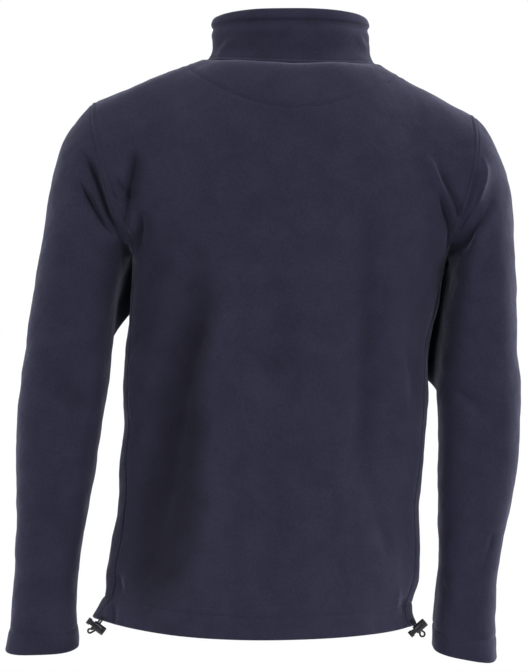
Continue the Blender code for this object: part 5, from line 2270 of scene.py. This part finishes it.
@dataclass
class SliderParts:
    """The zip's slider, with its bridge, and the pull that swings on it."""

    origin: Triple
    plate: tuple = ((-6.0, 0.0), (-6.0, 2.4), (-3.6, 4.1), (3.2, 4.1), (6.0, 3.3), (6.0, 0.0))
    plate_levels: tuple[float, float] = (0.3, 1.9)
    flange: Triple = (5.5, 3.1, 4.0)
    flange_levels: tuple[float, float] = (-2.7, 0.5)
    bridge: tuple = ((-3.8, 1.4), (-3.8, 5.9), (3.8, 5.9), (3.8, 1.4))
    bridge_inside: tuple = ((2.2, 1.4), (2.2, 4.7), (-2.2, 4.7), (-2.2, 1.4))
    bridge_half: float = 0.8
    pull: tuple = ((-0.65, 0.0), (-0.65, 2.8), (7.6, 2.8), (11.0, 3.3), (21.0, 3.3), (21.0, 0.0))
    pull_levels: tuple[float, float] = (2.75, 4.05)
    window: Triple = (0.65, 7.8, 2.8)
    eye: Triple = (15.6, 18.8, 2.6)
    edge: float = 0.28

    @property
    def facing(self) -> Frame:
        """X down the zip, Y to the left and Z outwards."""
        return Frame(self.origin, ((0, 0, -1), (1, 0, 0), (0, -1, 0)))

    @property
    def sideways(self) -> Frame:
        """X down the zip, Y outwards and Z to the right."""
        return Frame(self.origin, ((0, 0, -1), (0, -1, 0), (-1, 0, 0)))

    def slider(self) -> Object:
        """The plate with its two flanges and the bridge over it.

        Returns:
            The slider.
        """
        length, near, far = self.flange
        side = np.array([(-length, near), (length, near), (length, far), (-length, far)])
        arch = np.concatenate([fillet(self.bridge, [2.0, 2.0]), fillet(self.bridge_inside, [1.2, 1.2])])[::-1]
        parts = [(mirrored(fillet(self.plate, [1.2, 1.5, 1.5, 1.2])), *self.plate_levels, self.facing),
                 (side, *self.flange_levels, self.facing),
                 ((side * np.array([1.0, -1.0]))[::-1], *self.flange_levels, self.facing),
                 (arch, -self.bridge_half, self.bridge_half, self.sideways)]
        piece = prisms_object("zip_slider_body", parts)
        soften_edges(piece, self.edge)
        return piece

    def tab(self) -> Object:
        """The pull: a flat tab with the bridge's window and an eye at its end.

        Returns:
            The pull.
        """
        outline = mirrored(fillet(self.pull, [0.6, 2.0, 2.0, 2.2]))
        piece = prisms_object("zip_pull_tab", [(outline, *self.pull_levels, self.facing)])
        for low, high, width in (self.window, self.eye):
            carve(piece, slot_outline(low, high, width), 2 * self.pull_levels[1], self.facing)
        soften_edges(piece, self.edge)
        return piece


# ------------ the studio


@dataclass(frozen=True)
class SoftBox:
    """A large soft light aimed at the jacket."""

    name: str
    place: Triple
    aim: Triple
    size: tuple[float, float]
    power: float

    def build(self) -> None:
        """Add the light to the scene."""
        data = bpy.data.lights.new(self.name, "AREA")
        data.shape = "RECTANGLE"
        data.size, data.size_y = self.size
        data.energy = self.power
        lamp = linked(self.name, data)
        lamp.location = self.place
        way = Vector(self.aim) - Vector(self.place)
        lamp.rotation_euler = way.to_track_quat("-Z", "Y").to_euler()


@dataclass(frozen=True)
class Studio:
    """White surroundings, a pale floor, soft lights and the camera behind."""

    field_height: float = 0.8064
    distance: float = 3.0
    camera_x: float = 0.0312
    camera_z: float = -0.3288
    sensor: float = 36.0
    floor_z: float = -980.0
    floor_radius: float = 1500.0
    ambient: float = 0.28
    wall_glow: float = 0.95
    lights: tuple[SoftBox, ...] = (
        SoftBox("key", (-2.2, 1.9, 1.35), (0.0, 0.0, -0.25), (0.8, 0.9), 47.5),
        SoftBox("fill", (1.4, 2.4, 0.8), (0.0, 0.0, -0.25), (1.0, 1.4), 24.0),
        SoftBox("rim_right", (-2.3, -0.8, 0.3), (-0.1, 0.0, -0.35), (0.8, 2.2), 60.0),
        SoftBox("rim_left", (2.4, -0.3, 0.1), (0.1, 0.0, -0.35), (0.8, 2.2), 29.0),
        SoftBox("top", (-0.2, 0.3, 2.0), (0.0, 0.0, -0.2), (2.0, 1.0), 14.0),
    )

    def build(self) -> None:
        """Set up the world, the floor, the lights and the camera."""
        scene = bpy.context.scene
        scene.view_settings.view_transform = "Standard"
        scene.world = self.room()
        for light in self.lights:
            light.build()
        self.floor()
        self.camera()

    def room(self) -> bpy.types.World:
        """A white room: seen as white, it lights the jacket more softly.

        Returns:
            The world.
        """
        world = bpy.data.worlds.new("white_room")
        world.use_nodes = True
        graph = Graph(world.node_tree)
        way = graph.add("TexCoord").outputs["Generated"]
        depth = graph.add("SeparateXYZ", {0: way}).outputs["Y"]
        glow = graph.remap(depth, -1.0, 0.3, self.wall_glow, self.ambient)
        seen = graph.add("LightPath").outputs["Is Camera Ray"]
        graph.fill(world.node_tree.nodes["Background"],
                   {"Color": (1.0, 1.0, 1.0, 1.0), "Strength": graph.math("MAXIMUM", seen, glow)})
        return world

    def floor(self) -> None:
        """A round pale floor below the jacket."""
        turns = np.linspace(0, 2 * math.pi, 97)[:-1]
        rim = np.stack([np.cos(turns), np.sin(turns), np.zeros_like(turns)], axis=-1) * self.floor_radius
        rim[:, 2] = self.floor_z
        floor = mesh_object("floor", rim, [range(len(rim))])
        material = bpy.data.materials.new("pale_floor")
        material.use_nodes = True
        Graph(material.node_tree).fill(material.node_tree.nodes["Principled BSDF"],
                                       {"Base Color": (0.86, 0.86, 0.87, 1.0), "Roughness": 0.9})
        floor.data.materials.append(material)
        floor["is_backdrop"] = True

    def camera(self) -> None:
        """The camera behind the jacket, level, with its long side upright."""
        data = bpy.data.cameras.new("camera")
        data.sensor_width = self.sensor
        data.lens = self.sensor * self.distance / self.field_height
        data.clip_end = 50.0
        camera = linked("camera", data)
        camera.location = (self.camera_x, self.distance, self.camera_z)
        camera.rotation_euler = (math.radians(90), 0.0, math.radians(180))
        bpy.context.scene.camera = camera


# ------------ the jacket


@dataclass(frozen=True)
class Cut:
    """A cloth piece's flat size, in metres and square metres."""

    width: float
    length: float
    area: float


@dataclass
class Jacket:
    """All the jacket's pieces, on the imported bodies."""

    wardrobe: Wardrobe
    form: Form = field(default_factory=Form)
    cloth: Cloth = field(default_factory=Cloth)
    relief: Relief = field(default_factory=Relief)
    sewing: Sewing = field(default_factory=Sewing)
    body: str = "jacket"

    def build(self) -> None:
        """Make every piece, in the order of sewing."""
        self.panels()
        self.sleeves()
        self.collar()
        self.stitches()
        self.zip()
        self.hem_cords()

    def sheet(self, piece: Object, node: str) -> None:
        self.wardrobe.dress(piece, "fleece", self.body, node)

    def panels(self) -> None:
        """The back and both fronts."""
        plans = (("back_cloth", Face.BACK, (Side.LEFT, Side.RIGHT), "back_panel", "back"),
                 ("front_cloth_left", Face.FRONT, (Side.LEFT,), "front_left", "front"),
                 ("front_cloth_right", Face.FRONT, (Side.RIGHT,), "front_right", "front"))
        for name, face, sides, node, cut in plans:
            piece = Panel(name, face, sides, self.form, self.cloth, self.relief).build(self.sewing)
            self.sheet(piece, node)

    def sleeves(self) -> None:
        """Both sleeves."""
        for side in Side:
            name = f"sleeve_cloth_{side.value}"
            piece = Sleeve(name, side, self.form, self.cloth, self.relief).build(self.sewing)
            self.sheet(piece, f"sleeve_{side.value}")

    def collar(self) -> None:
        """The stand collar."""
        self.sheet(Collar(self.form, self.cloth).build(self.sewing), "collar")

    def stitches(self) -> None:
        """Every row of topstitching."""
        for piece in self.sewing.build():
            self.wardrobe.dress(piece, "thread", self.body)

    def zip(self) -> None:
        """The zip's tapes, coil, slider and pull."""
        zipper = Zip(self.form, self.cloth)
        for side in Side:
            self.wardrobe.dress(zipper.tape(side), "tape", self.body, f"zip_tape_{side.value}")
        self.wardrobe.dress(zipper.coil(), "teeth", self.body, "zip_chain")
        parts = SliderParts(tuple(zipper.slider_point()))
        LOG.info("zip slider at %s", np.round(parts.origin, 2))
        self.wardrobe.dress(parts.slider(), "metal", self.body, "zip_slider")
        self.wardrobe.dress(parts.tab(), "metal", "pull", "zip_pull")

    def hem_cords(self) -> None:
        """The cord loops and their locks at each hip."""
        for place in LOCKS:
            side, cord, lock = place.side, Drawcord(place), CordLock(place)
            piece, length = cord.build()
            self.wardrobe.dress(piece, "braid", self.body, f"drawcord_{side}")
            tuple(cord.route()[0] * MM)
            self.wardrobe.dress(lock.barrel(), "plastic", self.body, f"cord_lock_{side}")
            self.wardrobe.dress(lock.plunger(), "plastic", f"plunger_{side}", f"lock_plunger_{side}")
            LOG.info("drawcord %s: %.1f mm", side, length / MM)


def plain(corners: Sequence) -> list[list[float]]:
    """A box's two corners as plain lists."""
    return [[float(value) for value in corner] for corner in corners]


def main() -> None:
    """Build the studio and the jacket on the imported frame."""
    logging.basicConfig(level=logging.INFO, format="%(name)s: %(message)s")
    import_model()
    cad_box = plain(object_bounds())
    Studio().build()
    Jacket(Wardrobe()).build()
    {"cad": cad_box, "visual": plain(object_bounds())}


if __name__ == "__main__":
    main()
